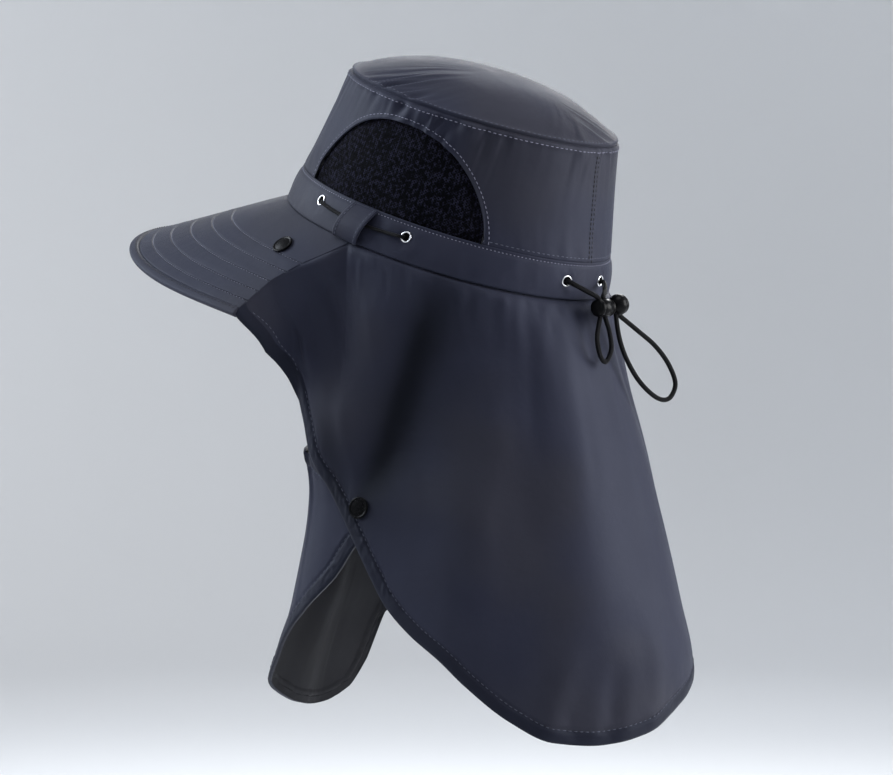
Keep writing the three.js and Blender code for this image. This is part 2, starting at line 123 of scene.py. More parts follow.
# %% [markdown]
# ## Cloth as a closed shell
# Real cloth has two faces and an edge. A grid of points gives the outer face, the same grid moved inwards
# gives the inner one, and a strip closes the rim. Each point also keeps how far along the cloth it lies,
# in metres, as its UV, so that the weave has one scale everywhere.

# %% mesh helpers
# Millimetres of cloth for each degree round the hat, which set the weave's scale
ARC = {"wall": 1.5, "band": 1.6, "flap": 1.9}


def unit(vectors):
    return vectors / np.maximum(np.linalg.norm(vectors, axis=-1, keepdims=True), 1e-12)


def grid_normals(points, ring):
    """The way each point of a grid faces; columns run left to right and rows run down."""
    if ring:
        across = np.roll(points, -1, 0) - np.roll(points, 1, 0)
    else:
        across = np.gradient(points, axis=0)
    down = np.gradient(points, axis=1)
    return unit(np.cross(down, across))


def add_piece(name, vertices, faces, materials, uvs=None, indices=None, smooth_shade=True):
    """A mesh in the row frame, from points in millimetres."""
    data = bpy.data.meshes.new(name)
    data.from_pydata((np.asarray(vertices) * MM).tolist(), [], faces)
    for material in materials:
        data.materials.append(material)
    if uvs is not None:
        loops = np.empty(len(data.loops), int)
        data.loops.foreach_get("vertex_index", loops)
        layer = data.uv_layers.new(name="cloth")
        layer.data.foreach_set("uv", np.asarray(uvs, float)[loops].ravel())
    if indices is not None:
        data.polygons.foreach_set("material_index", indices)
    data.polygons.foreach_set("use_smooth", [smooth_shade] * len(data.polygons))
    data.update()
    piece = bpy.data.objects.new(name, data)
    bpy.context.collection.objects.link(piece)
    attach(piece, "root")
    return piece


def shell(name, points, thickness, materials, ring=False, closed_end=False, uvs=None):
    """A closed cloth wall from its outer grid; closed_end draws the last row to one point."""
    columns, rows = points.shape[:2]
    normals = grid_normals(points, ring)
    if closed_end:
        normals[:, -1] = unit(normals[:, -2].mean(0))
    inner = points - normals * np.asarray(thickness)[..., None]
    if closed_end:
        inner[:, -1] = inner[:, -1].mean(0)
    if uvs is None:
        uvs = surface_lengths(points)
    number = np.arange(columns * rows).reshape(columns, rows)
    if ring:
        number = np.concatenate([number, number[:1]])
    other = number + columns * rows
    a, b, c, d = number[:-1, :-1], number[:-1, 1:], number[1:, 1:], number[1:, :-1]
    outer_faces = np.stack([a, b, c, d], -1).reshape(-1, 4)
    inner_faces = outer_faces[:, ::-1] + columns * rows
    rims = [np.stack([number[:-1, 0], number[1:, 0], other[1:, 0], other[:-1, 0]], -1)]
    if not closed_end:
        rims.append(np.stack([number[1:, -1], number[:-1, -1], other[:-1, -1], other[1:, -1]], -1))
    if not ring:
        rims.append(np.stack([number[0, 1:], number[0, :-1], other[0, :-1], other[0, 1:]], -1))
        rims.append(np.stack([number[-1, :-1], number[-1, 1:], other[-1, 1:], other[-1, :-1]], -1))
    rim_faces = np.concatenate(rims)
    faces = np.concatenate([outer_faces, inner_faces, rim_faces])
    indices = [0] * len(outer_faces) + [len(materials) - 1] * len(inner_faces) + [0] * len(rim_faces)
    vertices = np.concatenate([points.reshape(-1, 3), inner.reshape(-1, 3)])
    both = np.concatenate([uvs.reshape(-1, 2)] * 2)
    piece = add_piece(name, vertices, faces.tolist(), materials, both, indices)
    if closed_end:
        tidy_poles(piece)
    return piece


def tidy_poles(piece):
    """Joins the points that a closed end has drawn together."""
    mesh = bmesh.new()
    mesh.from_mesh(piece.data)
    bmesh.ops.remove_doubles(mesh, verts=mesh.verts, dist=2e-6)
    mesh.to_mesh(piece.data)
    mesh.free()


def surface_lengths(points):
    """How far each grid point lies across and down the cloth, in metres."""
    across = np.linalg.norm(np.diff(points, axis=0), axis=-1).mean(1)
    across = np.concatenate([[0], np.cumsum(across)])
    down = np.linalg.norm(np.diff(points, axis=1), axis=-1)
    down = np.concatenate([np.zeros((len(points), 1)), np.cumsum(down, axis=1)], 1)
    return np.stack([np.broadcast_to(across[:, None], down.shape), down], -1) * MM


def sweep(name, path, section, sides_up, materials, ring=False):
    """A closed solid with one flat section, whose x lies along sides_up, carried along a path."""
    along = np.roll(path, -1, 0) - np.roll(path, 1, 0) if ring else np.gradient(path, axis=0)
    along = unit(along)
    side = unit(sides_up - (sides_up * along).sum(-1, keepdims=True) * along)
    other = np.cross(along, side)
    points = path[:, None] + side[:, None] * section[None, :, :1] + other[:, None] * section[None, :, 1:]
    steps, corners = points.shape[:2]
    number = np.arange(steps * corners).reshape(steps, corners)
    number = np.concatenate([number, number[:, :1]], 1)
    if ring:
        number = np.concatenate([number, number[:1]])
    faces = np.stack([number[:-1, :-1], number[1:, :-1], number[1:, 1:], number[:-1, 1:]], -1).reshape(-1, 4)
    faces = faces.tolist()
    if not ring:
        faces += [number[0, :-1].tolist(), number[-1, :-1][::-1].tolist()]
    lengths = np.concatenate([[0], np.cumsum(np.linalg.norm(np.diff(path, axis=0), axis=1))])
    around = np.concatenate([[0], np.cumsum(np.linalg.norm(np.diff(section, axis=0), axis=1))])
    uvs = np.stack(np.broadcast_arrays(around[None, :], lengths[:, None]), -1) * MM
    return add_piece(name, points.reshape(-1, 3), faces, materials, uvs.reshape(-1, 2))


def rounded_section(width, height, corners=16):
    turn = np.linspace(0, 2 * np.pi, corners, endpoint=False)
    shape = np.stack([np.cos(turn), np.sin(turn)], -1)
    shape = np.sign(shape) * np.abs(shape) ** 0.7
    return shape * [width / 2, height / 2]


print("mesh helpers ready")

# %% [markdown]
# ## Shader maths in Python
# A finish is a small network of nodes. Wrapping a node's output in a class that knows + - * / lets the
# network be written as the formula it is, and one method makes every other kind of node.


# %% shader helper
class Field:
    """One output of a node. Arithmetic on it adds Math nodes."""

    def __init__(self, tree, socket):
        self.tree, self.socket = tree, socket

    def math(self, operation, *values):
        node = self.tree.nodes.new("ShaderNodeMath")
        node.operation = operation
        for socket, value in zip(node.inputs, values):
            if isinstance(value, Field):
                self.tree.links.new(value.socket, socket)
            else:
                socket.default_value = value
        return Field(self.tree, node.outputs[0])

    def __add__(self, other):
        return self.math("ADD", self, other)

    def __mul__(self, other):
        return self.math("MULTIPLY", self, other)

    def __sub__(self, other):
        return self.math("SUBTRACT", self, other)

    def __rsub__(self, other):
        return self.math("SUBTRACT", other, self)

    __radd__, __rmul__ = __add__, __mul__

    def wave(self, pitch):
        """A sine wave with this pitch, between -1 and 1."""
        return self.math("SINE", self * (2 * np.pi / pitch))


class Finish:
    """A material with one Principled shader. Constants go straight on its sockets."""

    def __init__(self, name, **constants):
        self.material = bpy.data.materials.new(name)
        self.material.use_nodes = True
        self.tree = self.material.node_tree
        self.tree.nodes.clear()
        self.shader = self.tree.nodes.new("ShaderNodeBsdfPrincipled")
        output = self.tree.nodes.new("ShaderNodeOutputMaterial")
        self.tree.links.new(self.shader.outputs[0], output.inputs[0])
        for socket, value in constants.items():
            self.shader.inputs[socket.replace("_", " ")].default_value = value

    def node(self, kind, settings=None, output=0, numbered=None, **named):
        """Any other node: its settings first, then its sockets, by name or by number."""
        node = self.tree.nodes.new("ShaderNode" + kind)
        for setting, value in (settings or {}).items():
            setattr(node, setting, value)
        sockets = {name.replace("_", " "): value for name, value in named.items()}
        for socket, value in {**sockets, **(numbered or {})}.items():
            if isinstance(value, Field):
                self.tree.links.new(value.socket, node.inputs[socket])
            else:
                node.inputs[socket].default_value = value
        return Field(self.tree, node.outputs[output])

    def feed(self, socket, field):
        self.tree.links.new(field.socket, self.shader.inputs[socket])

    def layer(self, name="cloth"):
        """The two numbers that a UV layer holds; the layer "cloth" has metres across and down."""
        place = self.node("UVMap", {"uv_map": name})
        return [self.node("SeparateXYZ", output=k, Vector=place) for k in (0, 1)]

    def blend(self, share, low, high):
        """From one colour to another; each is a colour or a field."""
        low, high = (c if isinstance(c, Field) else (*c, 1) for c in (low, high))
        return self.node("Mix", {"data_type": "RGBA"}, 2, {0: share, 6: low, 7: high})

    def ramp(self, value, low, high):
        """From 0 to 1 as the value goes from low to high, eased at both ends."""
        limits = {"From_Min": low, "From_Max": high}
        return self.node("MapRange", {"interpolation_type": "SMOOTHSTEP"}, Value=value, **limits)

    def noise(self, scale, detail=3.0, roughness=0.55):
        place = self.node("TexCoord", output=3)
        return self.node("TexNoise", Vector=place, Scale=scale, Detail=detail, Roughness=roughness)

    def relief(self, height, strength, distance):
        bump = self.node("Bump", Height=height, Strength=strength, Distance=distance)
        self.feed("Normal", bump)


print("shader helper ready")

# %% [markdown]
# ## The finishes
# The outer cloth is a thin, dense polyester: almost matt, with a soft bluish sheen on every fold. Its inner
# side carries a darker, duller coating. The weave is finer than a millimetre, so it shows only close up, as
# a slight grain; what the eye reads from afar is the slow change of tone over the crinkles. A picture of
# cloth could be laid over the meshes, but noise and waves have no edges to hide and stay sharp close up.


# %% cloth finishes
WEAVE = 0.0007
# Width of the turned hem, and the share of the cloth's colour that the hem and the deepest fold keep under
# their painted shade
HEM_WIDTH = 7.4
HEM_SHADE = 0.55
FOLD_SHADE = 0.12


def woven(name, dark, light, warm, rough, sheen, hem=False):
    """Plain weave: dark and light are its two tones, and warm the tint that it takes here and there. With
    hem set, painted shade darkens the colour on the hem, which is cloth turned over twice, and in the deep
    folds."""
    finish = Finish(
        name,
        Sheen_Weight=sheen,
        Sheen_Roughness=0.4,
        Sheen_Tint=(0.72, 0.80, 1.0, 1),
        Specular_IOR_Level=0.09,
        Specular_Tint=(0.66, 0.76, 1.0, 1),
    )
    across, down = finish.layer()
    warp = across.wave(WEAVE)
    weft = down.wave(WEAVE)
    weave = (warp * weft) * 0.5 + 0.5
    cloudy = finish.noise(30, 4)
    fine = finish.noise(170, 3)
    crinkle = finish.noise(55, 4, 0.6)
    drift = finish.noise(9, 2)
    tone = cloudy * 0.70 + weave * 0.14 + fine * 0.16
    grey = finish.blend(tone, dark, light)
    colour = finish.blend(finish.ramp(drift, 0.46, 0.66) * 0.55, grey, warm)
    if hem:
        # Painted shade: the hem's colour is darkened to HEM_SHADE and the deep folds' colour to FOLD_SHADE
        from_edge, fold = finish.layer("edge")
        inside = finish.ramp(from_edge, (HEM_WIDTH - 0.4) * MM, (HEM_WIDTH + 0.2) * MM)
        doubled_hem_and_painted_shade = finish.blend(tone, [v * HEM_SHADE for v in dark], [v * HEM_SHADE for v in light])
        colour = finish.blend(inside, doubled_hem_and_painted_shade, colour)
        colour = finish.blend(fold, colour, [v * FOLD_SHADE for v in dark])
    finish.feed("Base Color", colour)
    finish.feed("Roughness", rough + (cloudy - 0.5) * 0.22)
    finish.relief(weave * 0.5 + fine * 1.2 + crinkle * 2.4, 0.26, 0.0005)
    return finish.material


NAVY = ((0.0098, 0.0106, 0.0190), (0.0170, 0.0180, 0.0290), (0.0190, 0.0183, 0.0225), 0.56, 0.03)
CLOTH = woven("navy grey cloth", *NAVY)
FLAP_CLOTH = woven("navy grey cloth with painted hem and fold shade", *NAVY, hem=True)
COATING = ((0.0065, 0.0062, 0.0068), (0.0108, 0.0102, 0.0110), (0.0120, 0.0110, 0.0108), 0.70, 0.01)
COATED = woven("coated inner side", *COATING)
TAPE_TONES = ((0.0110, 0.0118, 0.0200), (0.0190, 0.0200, 0.0310), (0.0210, 0.0200, 0.0245), 0.56, 0.03)
TAPE = woven("edge tape", *TAPE_TONES)
print("cloth finishes:", CLOTH.name, COATED.name, TAPE.name)


# %% net, thread and cord finishes
NET_PITCH = 0.0019


def knit_pattern(across, down):
    """Height of the knit, the same sum for numbers and for shader fields: bumps set in rows."""
    return across * down * 0.5 + across * 0.25 + 0.5


def knitted_net():
    """Black warp-knit net. Its knots stand up from the mesh; the shader adds yarn, and paints the holes
    near-black as painted shade for the dark inside seen through them.
    """
    finish = Finish("black net", Roughness=0.85, Specular_IOR_Level=0.03)
    across, down = finish.layer()
    knots = knit_pattern(across.wave(NET_PITCH), down.wave(NET_PITCH * 0.8))
    yarn = finish.noise(900, 3)
    grain = finish.ramp(finish.noise(430, 2), 0.42, 0.66)
    tint = finish.blend(grain, (0.0012, 0.0012, 0.0026), (0.0125, 0.0125, 0.023))
    strands = finish.ramp(knots + yarn * 0.5, 0.35, 1.0)
    # Painted shade: the holes get a near-black colour for the shaded inside of the crown behind them
    finish.feed("Base Color", finish.blend(strands, (0.0005, 0.0005, 0.0009), tint))
    finish.relief(yarn, 0.8, 0.0004)
    return finish.material


def twisted_thread(name, dark, light):
    finish = Finish(name, Roughness=0.6, Specular_IOR_Level=0.2)
    tone = finish.noise(900, 2)
    finish.feed("Base Color", finish.blend(tone, dark, light))
    finish.relief(tone, 0.4, 0.0002)
    return finish.material


def braided_cord():
    """Round elastic with a braided cover: two sets of strands wind opposite ways."""
    finish = Finish("black braid", Roughness=0.42, Specular_IOR_Level=0.05)
    around, along = finish.layer()
    left = (along + around * 1.2).wave(0.0013)
    right = (along - around * 1.2).wave(0.0013)
    braid = left * right * 0.5 + 0.5
    finish.feed("Base Color", finish.blend(braid, (0.0010, 0.0010, 0.0014), (0.0060, 0.0062, 0.0075)))
    finish.relief(braid, 0.7, 0.0004)
    return finish.material


NET = knitted_net()
THREAD = twisted_thread("pale thread", (0.08, 0.08, 0.115), (0.19, 0.19, 0.25))
VISOR_THREAD = twisted_thread("grey thread", (0.11, 0.113, 0.15), (0.26, 0.265, 0.33))
CLOTH_THREAD = twisted_thread("cloth coloured thread", (0.030, 0.033, 0.050), (0.070, 0.075, 0.105))
DARK_THREAD = twisted_thread("dark thread", (0.0015, 0.0015, 0.003), (0.004, 0.004, 0.006))
BRAID = braided_cord()
print("made", NET.name, THREAD.name, BRAID.name)


# %% hard finishes
def hard(name, low, high, rough, metal=0.0, coat=0.0):
    shine = 0.5 if metal else 0.05
    finish = Finish(name, Metallic=metal, Coat_Weight=coat, Coat_Roughness=0.08, Specular_IOR_Level=shine)
    scuff = finish.noise(420, 4, 0.7)
    finish.feed("Base Color", finish.blend(scuff, low, high))
    finish.feed("Roughness", rough + scuff * 0.12)
    finish.relief(scuff, 0.12, 0.0001)
    return finish.material


STEEL = hard("bright eyelet", (0.50, 0.51, 0.53), (0.68, 0.69, 0.71), 0.16, metal=1.0)
GLOSS = hard("glossy snap", (0.0008, 0.0008, 0.0011), (0.002, 0.002, 0.0026), 0.20)
PLASTIC = hard("satin plastic", (0.0010, 0.0010, 0.0013), (0.0035, 0.0035, 0.0042), 0.24, coat=0.02)
# Painted shade: a near-black finish for the discs set inside the eyelets, where the channel behind lies in
# shade
EYELET_SHADE = hard("painted eyelet shade", (0.0003, 0.0003, 0.0004), (0.0008, 0.0008, 0.001), 0.9)
print("made", STEEL.name, GLOSS.name, PLASTIC.name)

# %% [markdown]
# ## The crown's shape
# The crown leans back on the head, so its pieces are worked out along its own axis and then turned. Three
# rings give the wall: the head opening, the top of the band and the top seam. Each piece could be modelled
# alone, but one function for the whole surface lets the wall, nets, band and stitches share it and meet.

# %% crown sizes
LEAN_BACK = np.radians(18.2)
BAND_TOP = 21.5
SEAM_HEIGHT = 83.2
RINGS = [
    {"height": 0, "long": 102, "wide": 84, "back": 0},
    {"height": BAND_TOP, "long": 98.7, "wide": 76.5, "back": 0.2},
    {"height": SEAM_HEIGHT, "long": 83.1, "wide": 70.7, "back": 1.3},
]
VENT = {"centre": 94.3, "half": 38, "rise": 49.3, "outline": 2.2, "shoulder": 1.8}
WALL_CLOTH = 1.1
# How far the wall and the nets run down behind the band, so that no seam can be seen through
TUCKED = 2.5
# Heights off the plain wall, of gathers, slow waves, seams and turned edges
WALL_RELIEF = {
    "gathers": 4.0, "foot": 0.55, "slow": 0.6, "back_seam": 0.5, "stitched": 0.35, "top_edge": 1.3,
    "vent_edge": 0.35, "under_band": 1.0,
}


def turn_back(points):
    """From the crown's own axes to the row frame."""
    x, y, z = np.moveaxis(np.asarray(points), -1, 0)
    c, s = np.cos(LEAN_BACK), np.sin(LEAN_BACK)
    return np.stack([x, y * c + z * s, z * c - y * s], -1)


def crown_ring(angle, height, outwards=0.0):
    """A place on the crown's wall; angle 0 is the front and 90 the wearer's left."""
    angle, height, outwards = np.broadcast_arrays(angle, height, outwards)
    heights = column(RINGS, "height")
    long, wide, back = (np.interp(height, heights, column(RINGS, c)) for c in ("long", "wide", "back"))
    s, c = np.sin(np.radians(angle)), np.cos(np.radians(angle))
    length = np.hypot(s / wide, c / long)
    x = wide * s + outwards * s / wide / length
    y = back - long * c - outwards * c / long / length
    return np.stack([x, y, height + 0.0 * x], -1)


def vent_height(angle):
    """Height of the vent's arch, or the band's top where there is no vent."""
    off = np.abs((np.asarray(angle) + 180) % 360 - 180) - VENT["centre"]
    share = np.minimum(np.abs(off) / VENT["half"], 1)
    return BAND_TOP + VENT["rise"] * (1 - share ** VENT["outline"]) ** (1 / VENT["shoulder"])


print("vent is", round(float(vent_height(VENT["centre"])) - BAND_TOP, 1), "mm high")

# %% [markdown]
# ## Gathers
# Where a longer edge is sewn to a shorter one, the spare cloth stands up in small pleats that die away from
# the seam. The photograph shows them most at the left and right of the top seam, over the vents, and a few
# at the back. Noise that is stretched along the pleats and squeezed across them gives their uneven rhythm.

# %% gathers
WALL_GATHERS = [
    {"angle": 42, "width": 7, "size": 0.5},
    {"angle": 88, "width": 9, "size": 0.8},
    {"angle": 108, "width": 13, "size": 1.0},
    {"angle": 127, "width": 9, "size": 0.45},
    {"angle": 172, "width": 7, "size": 0.5},
]
TOP_GATHERS = [
    {"angle": 84, "width": 15, "size": 1.0},
    {"angle": 160, "width": 8, "size": 0.25},
    {"angle": 172, "width": 5, "size": 0.2},
]


def gather_size(angle, table, rest=0.10):
    """How strongly the cloth is gathered here, the same on both sides of the hat."""
    turn = np.abs((np.asarray(angle) + 180) % 360 - 180)
    return rest + sum(row["size"] * bell(turn, row["angle"], row["width"]) for row in table)


def pleats(angle, away, seed, spacing=3.0, reach=16.0, slant=0.12):
    """Height of the gathers, a distance away from their seam."""
    cells = int(round(360 / spacing))
    across = np.asarray(angle) / 360 * cells + slant * away / spacing
    broad = soft_noise(across, away / 26.0, seed, cells)
    fine = 0.45 * soft_noise(across * 2, away / 14.0, seed + 1, 2 * cells)
    return (broad + fine) * np.exp(-away / reach) * ease(away, -0.8, 5.0)


def wall_lift(angle, height):
    """How far the crown's cloth stands out from its plain wall."""
    from_top = SEAM_HEIGHT - height
    from_band = height - BAND_TOP
    size = WALL_RELIEF
    top = size["gathers"] * gather_size(angle, WALL_GATHERS) * pleats(angle, from_top, 5, reach=13)
    foot = size["foot"] * pleats(angle, from_band, 9, spacing=4.5, reach=12)
    slow = size["slow"] * soft_noise(np.asarray(angle) / 15, height / 30, 12, 24)
    slow = slow * ease(from_top, 2, 20) * ease(from_band, 0, 15)
    back_seam = size["back_seam"] * bell(np.asarray(angle), 180, 1.2)
    top_seam = size["stitched"] * bell(from_top, 2.2, 1.4)
    seam = back_seam + top_seam - size["top_edge"] * bell(from_top, 0, 0.9)
    vent_edge = height - vent_height(angle)
    rolled = size["vent_edge"] * bell(vent_edge, 1.5, 1.6) * (vent_height(angle) > BAND_TOP + 1)
    under_band = size["under_band"] * (1 - ease(from_band, -0.4, 0.4))
    return top + foot + slow + seam + rolled - under_band


def wall_place(angle, height, extra=0.0):
    return turn_back(crown_ring(angle, height, wall_lift(angle, height) + extra))


print("gathers over the vent:", round(float(gather_size(108, WALL_GATHERS)), 2))


# %% crown wall
def crown_wall():
    half = VENT["half"]
    arch = -half * np.cos(np.linspace(0, np.pi, 110))
    plain = np.arange(0, 360, 1.0)
    off = np.abs(np.abs((plain + 180) % 360 - 180) - VENT["centre"])
    plain = plain[off > half + 0.4]
    angles = np.sort(np.concatenate([plain, VENT["centre"] + arch, 360 - VENT["centre"] + arch]))
    share = np.linspace(0, 1, 46)
    share = share - 0.06 * np.sin(2 * np.pi * share)
    low = np.where(vent_height(angles) > BAND_TOP, vent_height(angles) + 0.3, BAND_TOP - TUCKED)
    heights = SEAM_HEIGHT + (low[:, None] - SEAM_HEIGHT) * share
    points = wall_place(angles[:, None], heights)
    uvs = np.stack(np.broadcast_arrays(angles[:, None] * ARC["wall"], -heights), -1) * MM
    return shell("crown_wall_cloth", points, WALL_CLOTH, [CLOTH, COATED], ring=True, uvs=uvs)


wall_piece = crown_wall()
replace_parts(wall_piece, "crown_wall")
print("crown wall:", len(wall_piece.data.polygons), "faces")

# %% [markdown]
# ## The domed top
# The top is one oval of cloth eased onto the wall. It rises quickly from the seam and lies almost flat in
# the middle. The same gathers that start on the wall run on over the seam, longer here because nothing
# holds the cloth flat. A cloth simulation would put the gathers in places of its own. A power curve for the
# rise and the wall's own noise for the gathers keep them where the photograph has them.

# %% crown top
# The dome's rise and roundness and its mean radii, then the heights of its gathers, slack cloth and seam
DOME = {
    "rise": 20, "fullness": 2.6, "reach": 80, "radius": 78, "gathers": 2.7, "slack": 0.6, "stitched": 0.4,
    "puffed": 0.5, "drawn_in": 1.5, "tucked": 1.2,
}


def dome_place(angle, share, extra=0.0):
    """A place on the domed top; share is 1 at the seam and 0 in the middle."""
    angle, share = np.broadcast_arrays(np.asarray(angle, float), np.asarray(share, float))
    rim = crown_ring(angle, SEAM_HEIGHT)
    back = RINGS[2]["back"]
    rise = DOME["rise"] * (1 - share ** DOME["fullness"])
    away = (1 - share) * DOME["reach"]
    mirror = np.where(np.sin(np.radians(angle)) < 0, -1, 1)
    gathered = pleats(mirror * angle, away, 5, reach=20, slant=-0.65)
    lift = DOME["gathers"] * gather_size(angle, TOP_GATHERS, 0.02) * gathered
    slack = soft_noise(rim[..., 0] * share / 24 + 8, rim[..., 1] * share / 24 + 8, 21)
    lift = lift + DOME["slack"] * slack * ease(away, 4, 25)
    lift = lift * ease(share, 0.0, 0.15) + DOME["stitched"] * bell(away, 1.8, 1.4) + extra
    outwards = DOME["puffed"] * bell(away, 2.5, 3.0) - DOME["drawn_in"] * bell(away, 0, 0.8)
    x = rim[..., 0] * share * (1 + outwards / DOME["radius"])
    y = back + (rim[..., 1] - back) * share * (1 + outwards / DOME["radius"])
    slope = ease(share, 0.55, 1.0)
    x = x * (1 + lift * slope * 0.5 / DOME["reach"])
    y = y + (y - back) * lift * slope * 0.5 / DOME["reach"]
    tucked = DOME["tucked"] * bell(away, 0, 0.5)
    return turn_back(np.stack([x, y, SEAM_HEIGHT + 0.3 + rise + lift - tucked], -1))


def crown_top():
    angles = -np.arange(0, 360, 1.0)
    shares = np.cos(np.linspace(0, np.pi / 2, 56))
    points = dome_place(angles[:, None], shares[None, :])
    sides = [CLOTH, COATED]
    return shell("crown_top_cloth", points, WALL_CLOTH, sides, ring=True, closed_end=True)


top_piece = crown_top()
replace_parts(top_piece, "crown_top")
print("crown top:", len(top_piece.data.polygons), "faces")

# %% [markdown]
# ## The vents
# A panel of knitted net closes each arch from behind. It is sewn under the wall's turned edge, so it lies a
# little deeper than the cloth, and it is soft enough to belly out slightly. Each strand could be a tube,
# which would take millions of faces. A fine grid whose points stand up at every knot shows the same relief,
# and the shader paints the holes near-black, as painted shade for the dark inside seen through them.

# %% nets
NET_GRID = (250, 130)
NET_SHAPE = {"depth": 2.1, "belly": 1.5, "slack": 0.5, "knit": 0.32, "uneven": 0.12, "thickness": 0.7}


def net_panel(name, side):
    reach = VENT["half"] + 2.5
    turn = -reach * np.cos(np.linspace(0, np.pi, NET_GRID[0]))
    angles = (side * (VENT["centre"] + turn))[::side]
    top = np.minimum(vent_height(angles) + 4, SEAM_HEIGHT - 4)
    share = np.linspace(0, 1, NET_GRID[1])
    heights = top[:, None] + (BAND_TOP - TUCKED - top[:, None]) * share
    across = np.sin(np.linspace(0, np.pi, NET_GRID[0]))[:, None]
    belly = NET_SHAPE["belly"] * np.sin(np.pi * share)[None] * across
    slack = NET_SHAPE["slack"] * soft_noise(angles[:, None] / 7, heights / 12, 31)
    uvs = np.stack(np.broadcast_arrays(angles[:, None] * ARC["wall"], heights), -1) * MM
    turns = 2 * np.pi * uvs / [NET_PITCH, NET_PITCH * 0.8]
    knit = NET_SHAPE["knit"] * knit_pattern(np.sin(turns[..., 0]), np.sin(turns[..., 1]))
    uneven = NET_SHAPE["uneven"] * soft_noise(angles[:, None] * 1.1, heights / 1.3, 33)
    outwards = -NET_SHAPE["depth"] + belly + slack + knit + uneven
    points = turn_back(crown_ring(angles[:, None], heights, outwards))
    return shell(name, points, NET_SHAPE["thickness"], [NET], uvs=uvs)


for word, side in (("left", 1), ("right", -1)):
    net = net_panel(f"net_{word}", side)
    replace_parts(net, f"mesh_{word}")
print("two vents netted")

# %% [markdown]
# ## The band
# The band is a sleeve for the drawcord: two layers stitched together at the top and gathered at the foot,
# slightly puffed between. It is pulled in a little round each eyelet. A plain swept ring would look stiff,
# so its height off the crown is the sum of these few effects.

# %% band
EYELETS = [
    {"name": "front_left", "angle": 68.6, "height": 13.5},
    {"name": "rear_left", "angle": 107, "height": 13.5},
    {"name": "front_right", "angle": -68.6, "height": 13.5},
    {"name": "rear_right", "angle": -107, "height": 13.5},
    {"name": "back_left", "angle": 168, "height": 11},
    {"name": "back_right", "angle": 190, "height": 11},
]
# Millimetres round the band for each degree, near its eyelets
BAND_ARC = 1.55
# Heights off the band's plain ring, and how thick its two layers are at the edges and between
BAND_RELIEF = {
    "puff": 1.1, "creases": 0.5, "foot": 0.45, "at_eyelet": 0.25, "stitched": 0.2, "rolled_in": 1.7,
}
BAND_CLOTH = {"edge": 2.2, "between": 0.5}


def band_lift(angle, height):
    size = BAND_RELIEF
    share = np.clip(height / BAND_TOP, 0, 1)
    puff = size["puff"] * np.sin(np.pi * share) ** 0.8
    slow = soft_noise(np.asarray(angle) / 5, height / 22, 41, 72)
    creases = size["creases"] * slow * np.sin(np.pi * share)
    foot = size["foot"] * pleats(angle, height, 43, spacing=4, reach=8)
    lift = puff + creases + foot
    for row in EYELETS:
        off = (np.asarray(angle) - row["angle"] + 180) % 360 - 180
        near = np.hypot(off * BAND_ARC, height - row["height"])
        creased = size["at_eyelet"] * bell(near, 6, 2.2) * soft_noise(off / 1.5, height / 3, 45)
        lift = lift * (1 - bell(near, 0, 4.5)) + creased
    stitched = bell(height, BAND_TOP - 1.8, 1.0)
    rolled_in = 1 - ease(height, 0, 1.5)
    return lift * (1 - 0.6 * stitched) - size["stitched"] * stitched - size["rolled_in"] * rolled_in


def band_place(angle, height, extra=0.0):
    return turn_back(crown_ring(angle, height, band_lift(angle, height) + extra))


def band():
    angles = np.arange(0, 360, 0.8)
    heights = np.concatenate([np.linspace(BAND_TOP, 1.6, 34), [1.25, 0.95, 0.7, 0.45, 0.2, 0]])
    points = band_place(angles[:, None], heights[None, :])
    uvs = np.stack(np.broadcast_arrays(angles[:, None] * ARC["band"], heights), -1) * MM
    padded = BAND_CLOTH["edge"] + BAND_CLOTH["between"] * np.sin(np.pi * heights / BAND_TOP)
    thickness = np.broadcast_to(padded, (len(angles), len(heights)))
    return shell("band_cloth", points, thickness, [CLOTH, COATED], ring=True, uvs=uvs)


band_piece = band()
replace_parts(band_piece, "band")
print("band:", len(band_piece.data.polygons), "faces")

# %% [markdown]
# ## The visor
# The visor is cloth over a stiff sheet, quilted with five rows of stitching that follow its edge. Each row
# pulls the cloth down into a shallow groove, and the strips between stand up slightly. A bump texture could
# draw the grooves, but real ones also shade each other at a low angle, so the grid is finer beside each row.

# %% visor sizes
VISOR = {
    "width": 111.3, "narrowing": 44.4, "droop": 29.3, "extra_droop": 18.8, "thickness": 2.4, "binding": 6,
}
VISOR_SIDE = [
    {"share": 0, "angle": 89},
    {"share": 0.35, "angle": 80.5},
    {"share": 0.6, "angle": 77},
    {"share": 1, "angle": 76.5},
]
VISOR_ROWS = [0.35, 0.475, 0.61, 0.735, 0.85]
TAPE_EDGE = 1 - (VISOR["binding"] + 0.5) / VISOR["width"]
QUILT = {"strip": 0.16, "pucker": 0.05, "groove": 0.75, "groove_width": 0.0048}


def visor_side(share):
    return np.interp(share, column(VISOR_SIDE, "share"), column(VISOR_SIDE, "angle"))


def visor_axes(angle):
    """The visor's outward slope and its downward face at this angle, in the crown's axes."""
    side = np.sin(np.radians(angle)) ** 2
    droop = np.radians(VISOR["droop"] + VISOR["extra_droop"] * side)
    out = unit(crown_ring(angle, 0.0, 1.0) - crown_ring(angle, 0.0))
    up = np.array([0, 0, 1.0])
    along = out * np.cos(droop)[..., None] - up * np.sin(droop)[..., None]
    down = -out * np.sin(droop)[..., None] - up * np.cos(droop)[..., None]
    return along, down, VISOR["width"] - VISOR["narrowing"] * side


